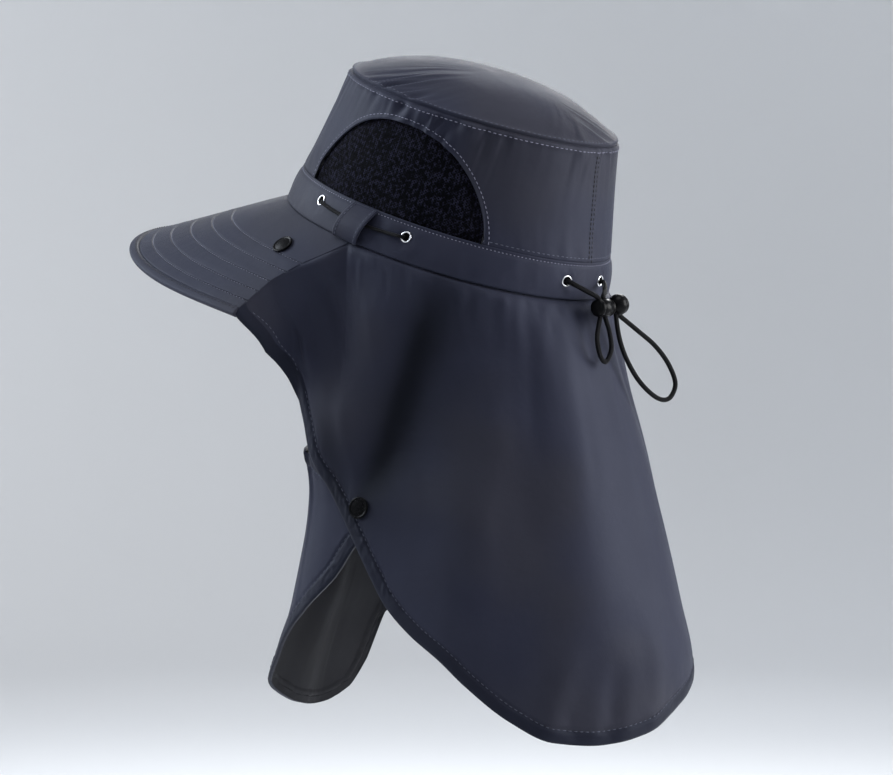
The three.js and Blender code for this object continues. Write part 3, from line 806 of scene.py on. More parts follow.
def visor_quilt(angle, share):
    """Height of the quilted strips between the rows."""
    grooves = sum(bell(share, row, QUILT["groove_width"]) for row in VISOR_ROWS)
    grooves = grooves + 1.3 * bell(share, TAPE_EDGE, 0.006)
    strips = 0.5 + 0.5 * soft_noise(np.asarray(angle) / 6, share * 26, 51)
    pucker = soft_noise(np.asarray(angle) / 1.1, share * 9, 52)
    outer = ease(share, 0.3, 0.4)
    slow = 0.5 * soft_noise(np.asarray(angle) / 12, share * 5, 53)
    stuffed = QUILT["strip"] * outer * strips + QUILT["pucker"] * outer * pucker
    return stuffed - QUILT["groove"] * grooves + 0.5 * slow


def visor_place(angle, share, below=0.0, quilt=1.0):
    angle, share = np.broadcast_arrays(np.asarray(angle, float), np.asarray(share, float))
    along, down, width = visor_axes(angle)
    base = crown_ring(angle, 0.0)
    depth = below - quilt * visor_quilt(angle, share) * ease(1 - share, 0, 0.03)
    return turn_back(base + along * (width * share)[..., None] + down * np.asarray(depth)[..., None])


print("visor:", VISOR["width"], "mm deep in front, with", len(VISOR_ROWS), "rows of stitches")


# %% visor and its binding
def visor():
    across = np.linspace(-1, 1, 300)
    shares = np.linspace(-0.02, 1 - VISOR["binding"] / VISOR["width"] * 0.4, 70)
    beside = np.array([-1.3, -0.8, -0.4, 0, 0.4, 0.8, 1.3]) / VISOR["width"]
    shares = np.unique(np.concatenate([shares] + [row + beside for row in VISOR_ROWS + [TAPE_EDGE]]))
    points = visor_place(across[:, None] * visor_side(shares)[None, :], shares[None, :])
    thickness = np.full(points.shape[:2], VISOR["thickness"] - 0.3)
    return shell("visor_cloth", points, thickness, [CLOTH, CLOTH])


def visor_binding():
    """A tape folded over the edge: a flat rounded section carried along it."""
    across = np.linspace(-1, 1, 260)
    share = 1 - VISOR["binding"] / VISOR["width"] / 2
    angles = across * visor_side(share)
    path = visor_place(angles, share, VISOR["thickness"] / 2, quilt=0)
    outer = visor_place(angles, 1.0, VISOR["thickness"] / 2, quilt=0)
    section = rounded_section(VISOR["binding"], VISOR["thickness"] + 1.1, 20)
    return sweep("visor_tape", path, section, outer - path, [TAPE])


visor_piece = visor()
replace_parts(visor_piece, "visor")
tape_piece = visor_binding()
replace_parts(tape_piece, "visor_binding")
print("visor cloth:", len(visor_piece.data.polygons), "faces")

# %% [markdown]
# ## The neck flap's sections
# The flap hangs from the band and from the visor's two side edges. Level sections describe it: two half
# ellipses that meet at the widest place. Angles run on past 360 degrees, because the flap's right end
# passes under the chin and under its own left edge, where a snap closes it. A simulated cloth would hang in
# its own way. Sections and folds in short tables can be fitted to the one pose that the photograph shows.

# %% flap tables
SECTIONS = [
    {"level": 20, "middle": -5, "front": 92, "back": 100, "half": 84},
    {"level": -40, "middle": -10, "front": 52, "back": 116, "half": 87},
    {"level": -80, "middle": -10, "front": 50, "back": 125, "half": 90},
    {"level": -120, "middle": -10, "front": 49, "back": 137, "half": 93.5},
    {"level": -150, "middle": -10, "front": 53, "back": 144, "half": 97},
    {"level": -200, "middle": -10, "front": 67, "back": 159, "half": 104},
    {"level": -230, "middle": -10, "front": 80, "back": 165, "half": 109},
    {"level": -270, "middle": -10, "front": 92, "back": 164, "half": 114},
    {"level": -300, "middle": -10, "front": 94, "back": 160, "half": 115},
]
FALL_IN = 34
WRAP = {"start": 325, "full": 375, "inset": 5}
# Angles and levels: the hem from the left visor corner on, and the throat edge from the right one
HEM_TABLE = """
69.8 -60, 71.2 -84, 75 -103, 79 -120, 86 -136, 93 -152, 98.5 -166, 104.5 -182, 109.5 -195, 118 -210,
126 -222, 133 -236, 143 -254, 152 -265, 162 -267.5, 172 -264, 186 -250, 210 -230, 240 -219, 290 -212,
325 -214, 333 -223, 339 -255, 346 -270, 360 -276, 377 -271, 392 -260, 411 -238, 434 -206, 448 -184,
456 -165, 462 -157, 466 -151
"""
THROAT_TABLE = """
290.2 -38, 291 -62, 296 -82, 306 -97, 325 -107, 360 -112, 400 -112, 424 -114, 440 -122, 456 -132, 466 -141
"""


def angle_rows(text):
    rows = [row.split() for row in text.replace("\n", " ").split(",")]
    return [{"angle": float(angle), "level": float(level)} for angle, level in rows]


HEM_LINE = angle_rows(HEM_TABLE)
THROAT = angle_rows(THROAT_TABLE)
print("hem rows:", len(HEM_LINE), "throat rows:", len(THROAT))

# %% flap folds
FOLD_COLUMNS = ("top", "bottom", "from", "to", "width", "right", "depth")


def fold_rows(*rows):
    """Each fold runs from one angle and level to another; right is its width on its right side."""
    return [dict(zip(FOLD_COLUMNS, row)) for row in rows]


FOLDS = fold_rows(
    (138, 102, -30, -142, 12, 22, -5),  # pull to the snap
    (104, 88, -10, -125, 12, 12, 3),  # roll over the pull
    (70, 78, -45, -140, 11, 11, 5.5),  # front edge bulge
    (152, 146, -30, -170, 7, 7, -1.5),  # back left fold
    (166, 160, -40, -230, 10, 10, 2.5),  # back middle roll
    (178, 176, -30, -200, 7, 7, -2),  # back middle fold
    (135, 130, -120, -240, 11, 11, 5),  # left lobe roll
    (215, 222, -40, -230, 8, 8, -6),  # right side fold
    (245, 250, -50, -230, 10, 10, 5),  # right side roll
    (345, 352, -115, -180, 16, 16, 4),  # throat sag
    (378, 372, -170, -290, 9, 9, -5),  # lobe fold
    (400, 395, -160, -280, 10, 10, 4),  # lobe roll
)
# Finer folds that the solids leave out
CREASES = fold_rows(
    (71.5, 78.5, -25, -74, 2.2, 2.2, 3.0),
    (80, 90, -12, -70, 2.4, 2.4, -2.0),
    (89, 97, -8, -60, 2.4, 2.4, 1.0),
    (95, 104, -8, -75, 3.0, 3.0, 0.8),
    (88, 98, -80, -148, 2.6, 2.6, 0.5),
    (156, 153, -35, -120, 2.2, 2.2, -0.7),
    (171, 167, -35, -150, 2.0, 2.0, -0.6),
    (184, 181, -35, -140, 2.4, 2.4, 0.8),
    (193, 199, -35, -160, 2.6, 2.6, -0.9),
    (156, 150, -215, -272, 3.2, 3.2, 1.6),
    (166, 164, -225, -275, 2.2, 2.2, -1.4),
    (176, 175, -205, -268, 2.6, 2.6, 1.5),
)
# Where cloth presses on cloth in a deep fold, little light gets in; these rows paint that shade into the
# cloth's colour
SHADED = fold_rows(
    (126, 94, -18, -168, 5, 9, 0.55),
    (127, 96, -10, -168, 9, 20, 0.42),
    (83, 91, -92, -150, 4, 6, 0.5),
)


def fold_lift(angle, level, folds):
    lift = np.zeros(np.broadcast(angle, level).shape)
    for fold in folds:
        share = (level - fold["from"]) / (fold["to"] - fold["from"])
        fade = ease(share, -0.1, 0.25) * (1 - ease(share, 0.7, 1.05))
        off = angle - fold["top"] - (fold["bottom"] - fold["top"]) * share
        off = off / np.where(off > 0, fold["right"], fold["width"])
        lift = lift + fold["depth"] * fade * np.exp(-off * off)
    return lift


print("folds:", len(FOLDS), "and finer creases:", len(CREASES))


# %% the seam that carries the flap
def seam_line():
    shares = np.linspace(1, 0, 41)
    side = visor_place(visor_side(shares), shares, 0.2, quilt=0)
    start = visor_side(0.0) + 2.5
    foot = turn_back(crown_ring(np.linspace(start, 180, 140), -0.3))
    left = np.concatenate([side, foot])
    right = left[-2::-1] * [-1, 1, 1]
    points = np.concatenate([left, right])
    angles = np.degrees(np.unwrap(np.arctan2(points[:, 0], -points[:, 1])))
    return angles, points[:, 2], np.hypot(points[:, 0], points[:, 1])


SEAM_ANGLE, SEAM_LEVEL, SEAM_RADIUS = seam_line()
LEFT_CORNER, RIGHT_CORNER = SEAM_ANGLE[0], SEAM_ANGLE[-1]
# Heights off the flap's plain sections; the shoulder is the cloth's first bend under the seam
FLAP_RELIEF = {"gathers": 0.9, "at_back": 0.5, "slow": 1.2, "ripple": 0.14}
SHOULDER = {"size": 1.2, "on_visor": 2.6, "drop": 7}


def section_radius(angle, level):
    levels, wanted = column(SECTIONS, "level"), ("middle", "half", "front", "back")
    middle, half, front, back = (smooth(level, levels, column(SECTIONS, c)) for c in wanted)
    turn = np.abs((angle + 180) % 360 - 180)
    depth = np.where(turn < np.degrees(np.arctan2(half, -middle)), front, back)
    s, c = np.sin(np.radians(angle)), -np.cos(np.radians(angle))
    a = (s / half) ** 2 + (c / depth) ** 2
    b = -2 * c * middle / depth**2
    return (-b + np.sqrt(b * b - 4 * a * ((middle / depth) ** 2 - 1))) / (2 * a)


def flap_place(angle, level, extra=0.0):
    """A place on the flap's outer face."""
    angle, level = np.broadcast_arrays(np.asarray(angle, float), np.asarray(level, float))
    around = np.where(angle > 360, angle - 360, angle)
    seam_level = np.interp(around, SEAM_ANGLE, SEAM_LEVEL)
    seam_radius = np.interp(around, SEAM_ANGLE, SEAM_RADIUS)
    below = np.maximum(seam_level - level, 0)
    swing = np.exp(-below / FALL_IN)
    leave = (seam_radius - section_radius(around, seam_level)) * swing
    folds = fold_lift(angle, level, FOLDS) + np.where(angle > 360, fold_lift(around, level, FOLDS), 0)
    fine = fold_lift(around, level, CREASES) * (angle < 360)
    under = WRAP["inset"] * ease(angle, WRAP["start"], WRAP["full"])
    on_visor = 1 - ease(np.minimum(around, 360 - around), 80, 92)
    bend = SHOULDER["size"] + SHOULDER["on_visor"] * on_visor
    shoulder = bend * (below / SHOULDER["drop"]) * np.exp(1 - below / SHOULDER["drop"])
    size = FLAP_RELIEF
    gathered = size["gathers"] + size["at_back"] * bell(np.abs(around - 180), 0, 40)
    gathers = gathered * pleats(around, below, 61, spacing=3.8, reach=19, slant=0)
    ripple = size["ripple"] * soft_noise(around / 4 + level / 90, level / 25 + 20, 65)
    slow = size["slow"] * soft_noise(around / 13, level / 50 + 20, 63) + ripple
    radius = section_radius(angle, level) + leave + folds * ease(below, 0, FALL_IN) + fine - under
    radius = radius + shoulder + gathers * (1 - 0.7 * on_visor) + slow * ease(below, 0, 45) + extra
    return np.stack([radius * np.sin(np.radians(angle)), -radius * np.cos(np.radians(angle)), level], -1)


print("flap corners at", round(LEFT_CORNER, 1), "and", round(RIGHT_CORNER, 1), "degrees")

# %% [markdown]
# ## The flap's cloth
# The grid has a column for each small step round the head. Its top is the seam and, past the right visor
# corner, the throat edge; its bottom is the hem. The edge is turned over and stitched, so it is thicker,
# with a fine rolled lip. The hem could be a strip of its own, but on the real flap it is the same cloth, so
# here too it is the grid's own edge, found by each point's distance from it.

# %% flap cloth
# Heights of the turned cloth, its rolled lip and the groove at its stitches; the rest are its ripples
HEM = {"turned": 0.5, "lip": 0.45, "groove": 0.75, "pucker": 0.35, "drawn_up": 1.1}


def flap_top(angle):
    sewn = np.interp(angle, SEAM_ANGLE, SEAM_LEVEL)
    throat = smooth(angle, column(THROAT, "angle"), column(THROAT, "level"))
    return np.where(angle <= RIGHT_CORNER, sewn, throat)


def flap_bottom(angle):
    return smooth(angle, column(HEM_LINE, "angle"), column(HEM_LINE, "level"))


def flap_edges():
    """The flap's free edge from the left visor corner to the right one, as angles and levels."""
    first, last = HEM_LINE[0]["angle"], HEM_LINE[-1]["angle"]
    down = np.stack([np.full(12, first), np.linspace(flap_top(first), flap_bottom(first), 12)], -1)
    angles = np.linspace(first, last, 900)
    foot = np.stack([angles, flap_bottom(angles)], -1)
    tip = np.stack([np.full(8, last), np.linspace(flap_bottom(last), flap_top(last), 8)], -1)
    back = np.linspace(last, RIGHT_CORNER + 0.01, 500)
    throat = np.stack([back, flap_top(back)], -1)
    return np.concatenate([down, foot[1:], tip[1:], throat[1:]])


EDGE = flap_edges()
EDGE_PLACES = flap_place(EDGE[:, 0], EDGE[:, 1])
ONE_LAYER = 20.0


def edge_distance(angle, level):
    """How far a place is from the free edge of its own layer of cloth, in millimetres."""
    start, run = EDGE_PLACES[:-1], np.diff(EDGE_PLACES, axis=0)
    length = np.maximum((run**2).sum(-1), 1e-9)
    turns = np.ravel(angle)
    spots = flap_place(turns, np.ravel(level))
    best = np.empty(len(spots))
    for i in range(0, len(spots), 600):
        gap = spots[i : i + 600, None] - start[None]
        t = np.clip((gap * run).sum(-1) / length, 0, 1)
        far = np.linalg.norm(gap - t[..., None] * run, axis=-1)
        beyond = np.abs(turns[i : i + 600, None] - EDGE[:-1, 0]) > ONE_LAYER
        best[i : i + 600] = np.where(beyond, 1e9, far).min(1)
    return best.reshape(np.shape(angle))


BEHIND_BAND = {"in": 1.9, "up": 1.2}


def behind_band(angle):
    """How the flap's sewn edge moves in and up behind the band, so that the seam can't be seen through."""
    share = ease(angle, 90, 92) * (1 - ease(angle, 268, 270))
    inwards = np.stack([-np.sin(np.radians(angle)), np.cos(np.radians(angle)), 0 * angle], -1)
    return share[:, None] * (BEHIND_BAND["in"] * inwards + [0, 0, BEHIND_BAND["up"]])


def flap():
    first, last = HEM_LINE[0]["angle"], HEM_LINE[-1]["angle"]
    runs = [(first, 112, 170), (112, 400, 290), (400, last, 130)]
    corners = [first + 0.3, first + 0.7, RIGHT_CORNER + 0.02, RIGHT_CORNER + 0.4, last - 0.3, last - 0.7]
    angles = np.concatenate([np.linspace(*run) for run in runs] + [corners])
    angles = np.unique(np.round(angles, 3))
    top, bottom = flap_top(angles), flap_bottom(angles)
    upper, lower = np.linspace(0, 0.07, 9)[1:-1], np.linspace(0.90, 1, 22)[1:]
    share = np.concatenate([[0, 0.0015], upper, np.linspace(0.07, 0.90, 48), lower])
    levels = top[:, None] + (bottom - top)[:, None] * share
    wide = np.broadcast_to(angles[:, None], levels.shape)
    distance = edge_distance(wide, levels)
    turned_over = HEM["turned"] * (1 - ease(distance, HEM_WIDTH - 1.2, HEM_WIDTH + 0.4))
    lip, groove = HEM["lip"] * bell(distance, 0, 0.8), HEM["groove"] * bell(distance, HEM_WIDTH, 0.8)
    lift = turned_over - lip - groove
    pucker = soft_noise(wide * 1.1, levels / 3.0, 71) * bell(distance, HEM_WIDTH - 1.5, 4.0)
    drawn_up = HEM["drawn_up"] * pleats(wide, distance, 73, spacing=3.2, reach=11) * bell(wide, 168, 22)
    points = flap_place(wide, levels, lift + HEM["pucker"] * pucker + drawn_up)
    points[:, 0] += behind_band(angles)
    doubled_hem_and_painted_shade = 1 - ease(distance, HEM_WIDTH - 0.6, HEM_WIDTH + 0.6)
    thickness = WALL_CLOTH + WALL_CLOTH * doubled_hem_and_painted_shade
    uvs = np.stack([wide * ARC["flap"], -levels], -1) * MM
    piece = shell("neck_flap_cloth", points, thickness, [FLAP_CLOTH, COATED], uvs=uvs)
    far = np.tile(distance.ravel() * MM, 2)
    loops = np.empty(len(piece.data.loops), int)
    piece.data.loops.foreach_get("vertex_index", loops)
    layer = piece.data.uv_layers.new(name="edge")
    # The edge layer's second number is painted shade for the deep folds, which darkens the cloth's colour
    # there
    shade = np.tile(np.clip(fold_lift(wide, levels, SHADED), 0, 1).ravel(), 2)
    layer.data.foreach_set("uv", np.stack([far, shade], -1)[loops].ravel())
    return piece


flap_piece = flap()
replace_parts(flap_piece, "neck_flap")

# %% [markdown]
# ## Stitches
# A machine stitch is a short length of thread that dips into the cloth at both ends. Hundreds of small
# spindles, each turned along its seam, catch the light as the dotted lines in the photograph do. One mesh
# holds a whole row, so the file stays small.


# %% stitch maker
def stitch_row(name, place, samples, thread=None, pitch=3.0, length=2.0, width=0.45, lift=0.06):
    """Stitches along place(t), t from 0 to 1, where place takes an extra height off the cloth."""
    t = np.linspace(0, 1, samples)
    path = place(t, 0.0)
    run = np.concatenate([[0], np.cumsum(np.linalg.norm(np.diff(path, axis=0), axis=1))])
    spots = np.arange(pitch / 2, run[-1], pitch)
    at = np.interp(spots, run, t)
    centre = place(at, lift)
    step = 0.35 * pitch / run[-1]
    along = unit(place(np.clip(at + step, 0, 1), lift) - place(np.clip(at - step, 0, 1), lift))
    out = unit(place(at, lift + 1.0) - centre)
    side = unit(np.cross(along, out))
    out = np.cross(side, along)
    rings = [(-0.5, 0.0), (-0.36, 0.42), (0.0, 0.5), (0.36, 0.42), (0.5, 0.0)]
    turns = np.linspace(0, 2 * np.pi, 6, endpoint=False)
    vertices, faces = [], []
    for c, a, s, o in zip(centre, along, side, out):
        base = len(vertices)
        for place_along, size in rings:
            middle = c + a * place_along * length - o * 0.25 * (abs(place_along) * 2) ** 2
            if size == 0:
                vertices.append(middle)
                continue
            for turn in turns:
                vertices.append(middle + (s * np.cos(turn) + o * np.sin(turn)) * size * width)
        start, end = base, base + 19
        for k in range(6):
            n = (k + 1) % 6
            faces.append((start, base + 1 + n, base + 1 + k))
            for ring_number in range(2):
                low = base + 1 + 6 * ring_number
                faces.append((low + k, low + n, low + 6 + n, low + 6 + k))
            faces.append((base + 13 + k, base + 13 + n, end))
    return add_piece(name, vertices, faces, [thread or THREAD])


print("stitch maker ready")


# %% crown and band stitches
def round_crown(surface, at):
    """All the way round the crown at one height, or one share of the dome."""
    return lambda t, up: surface(360 * t, at, up)


def wall_foot(t, up):
    """Over the band, from one vent round the back to the other."""
    return wall_place(134 + 92 * t, BAND_TOP + 2.2, up)


def down_seam(angle):
    """Down the back seam, a little to one side of it."""
    return lambda t, up: wall_place(angle, SEAM_HEIGHT - 4 - 57 * t, up)


stitch_row("top_seam_stitch", round_crown(dome_place, 0.972), 1400, CLOTH_THREAD)
stitch_row("wall_top_stitch", round_crown(wall_place, SEAM_HEIGHT - 2.6), 1400)
stitch_row("band_top_stitch", round_crown(band_place, BAND_TOP - 1.8), 1400, pitch=2.2, length=1.2)
stitch_row("wall_foot_stitch", wall_foot, 600, CLOTH_THREAD)
for word, angle in (("left", 179.1), ("right", 180.9)):
    stitch_row(f"back_seam_stitch_{word}", down_seam(angle), 200, DARK_THREAD, 2.6, width=0.7)


def beside_vent(t, up, side):
    """A line that runs round the arch, a little outside its edge."""
    turn = -np.cos(np.pi * t) * (VENT["half"] + 1.9)
    share = np.minimum(np.abs(turn) / (VENT["half"] + 1.9), 1)
    height = BAND_TOP + (VENT["rise"] + 3.0) * (1 - share ** VENT["outline"]) ** (1 / VENT["shoulder"])
    return wall_place(side * (VENT["centre"] + turn), height, up)


for word, side in (("left", 1), ("right", -1)):
    stitch_row(f"vent_stitch_{word}", lambda t, up: beside_vent(t, up, side), 900, pitch=2.8)
print("crown stitched")


# %% visor and hem stitches
def along_visor(share):
    return lambda t, up: visor_place((2 * t - 1) * (visor_side(share) - 1.2), share, -up)


for number, share in enumerate(VISOR_ROWS, 1):
    stitch_row(f"visor_stitch_{number}", along_visor(share), 900, VISOR_THREAD, 2.5, 1.2, 0.55, 0.10)


def along_tape(t, up):
    share = 1 - VISOR["binding"] / VISOR["width"] * 0.78
    return visor_place((2 * t - 1) * 76, share, -0.5 - up, quilt=0)


stitch_row("visor_tape_stitch", along_tape, 900, DARK_THREAD, length=2.8)


def hem_line(inset):
    """The free edge moved inwards over the cloth, as angles and levels."""
    run = np.concatenate([[0], np.cumsum(np.linalg.norm(np.diff(EDGE_PLACES, axis=0), axis=1))])
    even = np.linspace(0, run[-1], 1500)
    angle, level = (np.interp(even, run, EDGE[:, k]) for k in (0, 1))
    here = flap_place(angle, level)
    across, up = flap_place(angle + 1, level) - here, flap_place(angle, level + 1) - here
    ahead = unit(np.gradient(here, axis=0))
    for _ in range(6):
        ahead[1:-1] = unit(ahead[:-2] + 2 * ahead[1:-1] + ahead[2:])
    inwards = unit(np.cross(np.cross(across, up), ahead))
    sides = np.stack([across, up], 1)
    steps = np.linalg.solve(sides @ sides.transpose(0, 2, 1), sides @ inwards[..., None])[..., 0] * inset
    angle, level = angle + steps[:, 0], level + steps[:, 1]
    keep = edge_distance(angle, level) > inset * 0.93
    return angle[keep][3:-3], level[keep][3:-3]


HEM_ANGLE, HEM_LEVEL = hem_line(HEM_WIDTH)


def along_hem(t, up):
    rows = np.arange(len(HEM_ANGLE))
    angle, level = (np.interp(t * rows[-1], rows, values) for values in (HEM_ANGLE, HEM_LEVEL))
    return flap_place(angle, level, up - 0.25)


stitch_row("hem_stitch", along_hem, 3000, CLOTH_THREAD, 3.2)
print("visor and hem stitched")

# %% [markdown]
# ## Eyelets, snaps and loops
# Small hard pieces carry much of the hat's character. The eyelets are rolled metal rings, the snap caps
# shallow glossy domes with a rim, and each belt loop is a strip of cloth folded in two and stitched at its
# ends. Hard parts like these are pressed or moulded round an axis, so each is turned from one profile.


# %% turned pieces
def turned(name, profile, centre, axis, materials, sides=36):
    """A solid turned from a profile of (radius, height) points, set with its axis along a direction."""
    axis = unit(np.asarray(axis, float))
    side = unit(np.cross(axis, [0.31, 0.12, 0.94]))
    other = np.cross(axis, side)
    turns = np.linspace(0, 2 * np.pi, sides, endpoint=False)
    ringed = np.cos(turns)[:, None] * side + np.sin(turns)[:, None] * other
    vertices, rows = [], []
    for radius, height in profile:
        if radius == 0:
            rows.append([len(vertices)] * (sides + 1))
            vertices.append(centre + axis * height)
            continue
        first = len(vertices)
        vertices.extend(centre + ringed * radius + axis * height)
        rows.append([first + k for k in range(sides)] + [first])
    closed = profile[0][0] > 0
    pairs = zip(rows, rows[1:] + rows[:1] if closed else rows[1:])
    faces = []
    for low, high in pairs:
        for k in range(sides):
            corners = (low[k], low[k + 1], high[k + 1], high[k])
            faces.append(tuple(dict.fromkeys(corners)))
    return add_piece(name, vertices, faces, materials)


def facing(place, *where):
    """The way a surface faces at a place, from three close points."""
    here, right, up = place(*where), place(where[0] + 0.8, where[1]), place(where[0], where[1] + 1.0)
    return here, unit(np.cross(right - here, up - here))


WIRE = np.linspace(0, 2 * np.pi, 14, endpoint=False)
ROLLED_RING = [(2.75 + 0.5 * np.cos(t), 0.5 + 0.5 * np.sin(t)) for t in WIRE]
SHADE_DISC = [(0, -0.3), (2.4, -0.3), (2.4, 0.3), (0, 0.3)]
CAP = [
    (0, 0), (5.9, 0), (6.1, 0.35), (6.0, 0.8), (5.6, 1.0), (5.1, 0.95), (4.8, 0.75), (4.4, 0.8), (2.8, 1.0),
    (0, 1.1),
]
STUD = [(0, 0), (3.0, 0), (3.1, 0.4), (2.6, 0.7), (1.6, 0.8), (1.3, 1.2), (1.4, 1.7), (0.8, 2.0), (0, 2.1)]

for row in EYELETS:
    spot, out = facing(band_place, row["angle"], row["height"])
    ring = turned(f"eyelet_ring_{row['name']}", ROLLED_RING, spot, out, [STEEL])
    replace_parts(ring, f"eyelet_{row['name']}")
    # A near-black disc in each eyelet is painted shade for the dark channel behind it
    turned(f"eyelet_shade_disc_{row['name']}", SHADE_DISC, spot, out, [EYELET_SHADE], 24)
print("six eyelets set")

# %% snaps
VISOR_SNAP = {"angle": 68.6, "share": 0.274}
THROAT_SNAP = {"angle": 98.5, "level": -144}
FREE_STUD = {"angle": 421, "level": -121}

for word, side in (("left", 1), ("right", -1)):
    angle = side * VISOR_SNAP["angle"]
    spot = visor_place(angle, VISOR_SNAP["share"])
    out = spot - visor_place(angle, VISOR_SNAP["share"], 1.0)
    cap = turned(f"snap_cap_{word}", CAP, spot + 0.2 * out, out, [GLOSS])
    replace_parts(cap, f"visor_snap_{word}")

spot, out = facing(flap_place, THROAT_SNAP["angle"], THROAT_SNAP["level"])
cap = turned("throat_cap", CAP, spot + 0.2 * out, out, [GLOSS])
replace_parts(cap, "flap_snap")
spot, out = facing(flap_place, THROAT_SNAP["angle"] + 360, THROAT_SNAP["level"])
inner_stud = turned("throat_stud", STUD, spot + 0.2 * out, out, [GLOSS])
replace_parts(inner_stud, "flap_stud")
spot, out = facing(flap_place, FREE_STUD["angle"], FREE_STUD["level"])
open_stud = turned("open_stud", STUD, spot + 0.2 * out, out, [GLOSS])
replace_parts(open_stud, "free_stud")
print("snaps set")

# %% belt loops and the side cords
LOOP = {
    "from": 81.9, "to": 92.2, "lean": 2.0, "low": 0.6, "high": 21.2, "bulge": 4.4, "off": 1.5, "edge": 0.35,
    "thickness": 1.3,
}
SIDE_CORD = {"width": 1.9, "height": 13.5, "over": 3.6, "sag": 1.6}


def loop_place(across, share, side, extra=0.0):
    """A place on a belt loop's outer face: share 0 at its top and 1 at its foot."""
    angle = side * (LOOP["from"] + (LOOP["to"] - LOOP["from"]) * across + LOOP["lean"] * (1 - share))
    height = LOOP["high"] + (LOOP["low"] - LOOP["high"]) * share
    bow = LOOP["bulge"] * np.sin(np.pi * share) ** 0.8 + LOOP["off"]
    rolled = LOOP["edge"] * (bell(across, 0.06, 0.06) + bell(across, 0.94, 0.06))
    return turn_back(crown_ring(angle, height, bow + rolled + extra))


def belt_loop(name, side):
    across = np.linspace(0, 1, 25) if side > 0 else np.linspace(1, 0, 25)
    share = np.linspace(0, 1, 40)
    points = loop_place(across[:, None], share[None, :], side)
    return shell(name, points, LOOP["thickness"], [CLOTH])


def down_loop(across, side):
    return lambda t, up: loop_place(across, t, side, up)


def side_cord(name, side):
    """The channel cord comes out of one eyelet, passes under the loop and goes into the next."""
    angles = np.linspace(EYELETS[0]["angle"], EYELETS[1]["angle"], 60)
    share = np.linspace(0, 1, 60)
    over = -1.2 + SIDE_CORD["over"] * ease(np.minimum(share, 1 - share), 0, 0.055)
    height = SIDE_CORD["height"] - SIDE_CORD["sag"] * np.sin(np.pi * share)
    middle = turn_back(crown_ring(side * angles, height, over))
    outwards = turn_back(crown_ring(side * angles, height, over + 1)) - middle
    section = rounded_section(SIDE_CORD["width"], SIDE_CORD["width"], 10)
    return sweep(name, middle, section, outwards, [BRAID])


for word, side in (("left", 1), ("right", -1)):
    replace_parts(belt_loop(f"loop_{word}", side), f"belt_loop_{word}")
    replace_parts(side_cord(f"channel_cord_{word}", side), f"side_cord_{word}")
    for edge, across in (("front", 0.12), ("rear", 0.88)):
        stitch_row(f"loop_stitch_{word}_{edge}", down_loop(across, side), 80, CLOTH_THREAD, 2.6)
print("loops and side cords set")

# %% [markdown]
# ## The drawcord
# The elastic comes out of the two back eyelets, runs through a spring lock and hangs in two loops, a small
# one and a large one. A simulated cord would settle in another shape, so its route is a list of given
# points, the same as in the solids, and a smooth curve passes through them.

# %% drawcord route
LOCK = {"x": 2, "y": 111.5, "z": -35, "length": 13, "radius": 5, "ball": 6.0}
CORD_RADIUS = 1.35
SMALL_LOOP = [
    (5.2, 111.5, -40.3), (9.2, 112.4, -51), (7.4, 113.2, -61), (2.6, 113.6, -64.5), (-2.6, 113.6, -58),
    (-2, 112.8, -48.5), (0.2, 111.5, -40.5),
]
LARGE_LOOP = [
    (-11.9, 112.5, -39.3), (-17.3, 114.2, -43.3), (-23.2, 117.6, -48.5), (-33.3, 121.6, -56.5),
    (-41.7, 124.8, -66.5), (-46.4, 126.7, -77.5), (-44, 125.7, -85), (-38.8, 123.9, -87),
    (-32.1, 121.1, -84), (-23.2, 117.6, -75.5), (-15.4, 114.8, -63.5), (-10.6, 113.4, -52),
    (-8.5, 112.5, -39.4),
]


def curve_through(points, steps=14):
    """A smooth curve through a list of points."""
    points = np.asarray(points, float)
    padded = np.concatenate([2 * points[:1] - points[1:2], points, 2 * points[-1:] - points[-2:-1]])
    pieces = []
    for a, b, c, d in zip(padded, padded[1:], padded[2:], padded[3:]):
        t = np.linspace(0, 1, steps, endpoint=False)[:, None]
        bend, twist = 2 * a - 5 * b + 4 * c - d, 3 * b - a - 3 * c + d
        pieces.append(0.5 * (2 * b + (c - a) * t + bend * t**2 + twist * t**3))
    return np.concatenate(pieces + [points[-1:]])


def tube(name, path, radius, sides=14):
    """A round cord; its section is carried along without twisting."""
    along = unit(np.gradient(path, axis=0))
    side = np.zeros_like(path)
    side[0] = unit(np.cross(along[0], [0.2, 0.9, 0.35]))
    for i in range(1, len(path)):
        side[i] = unit(side[i - 1] - along[i] * side[i - 1].dot(along[i]))
    turns = np.linspace(0, 2 * np.pi, sides, endpoint=False)
    section = np.stack([np.cos(turns), np.sin(turns)], -1) * radius
    return sweep(name, path, section, side, [BRAID])


def path_length(path):
    return float(np.linalg.norm(np.diff(path, axis=0), axis=1).sum()) * MM


def eyelet_lead(row, side):
    """The cord's first stretch, out of a back eyelet and down to the lock."""
    spot, out = facing(lambda a, h: turn_back(crown_ring(a, h)), row["angle"], row["height"])
    above = np.array([LOCK["x"] + 2.6 + side * 2.4, LOCK["y"], LOCK["z"] + LOCK["radius"]])
    bend = spot + 2.6 * out + 0.10 * (above - spot)
    return [spot + 0.3 * out, bend, (bend + above) / 2 + [0, 0.8, 0], above + [0, 0, 0.3]]


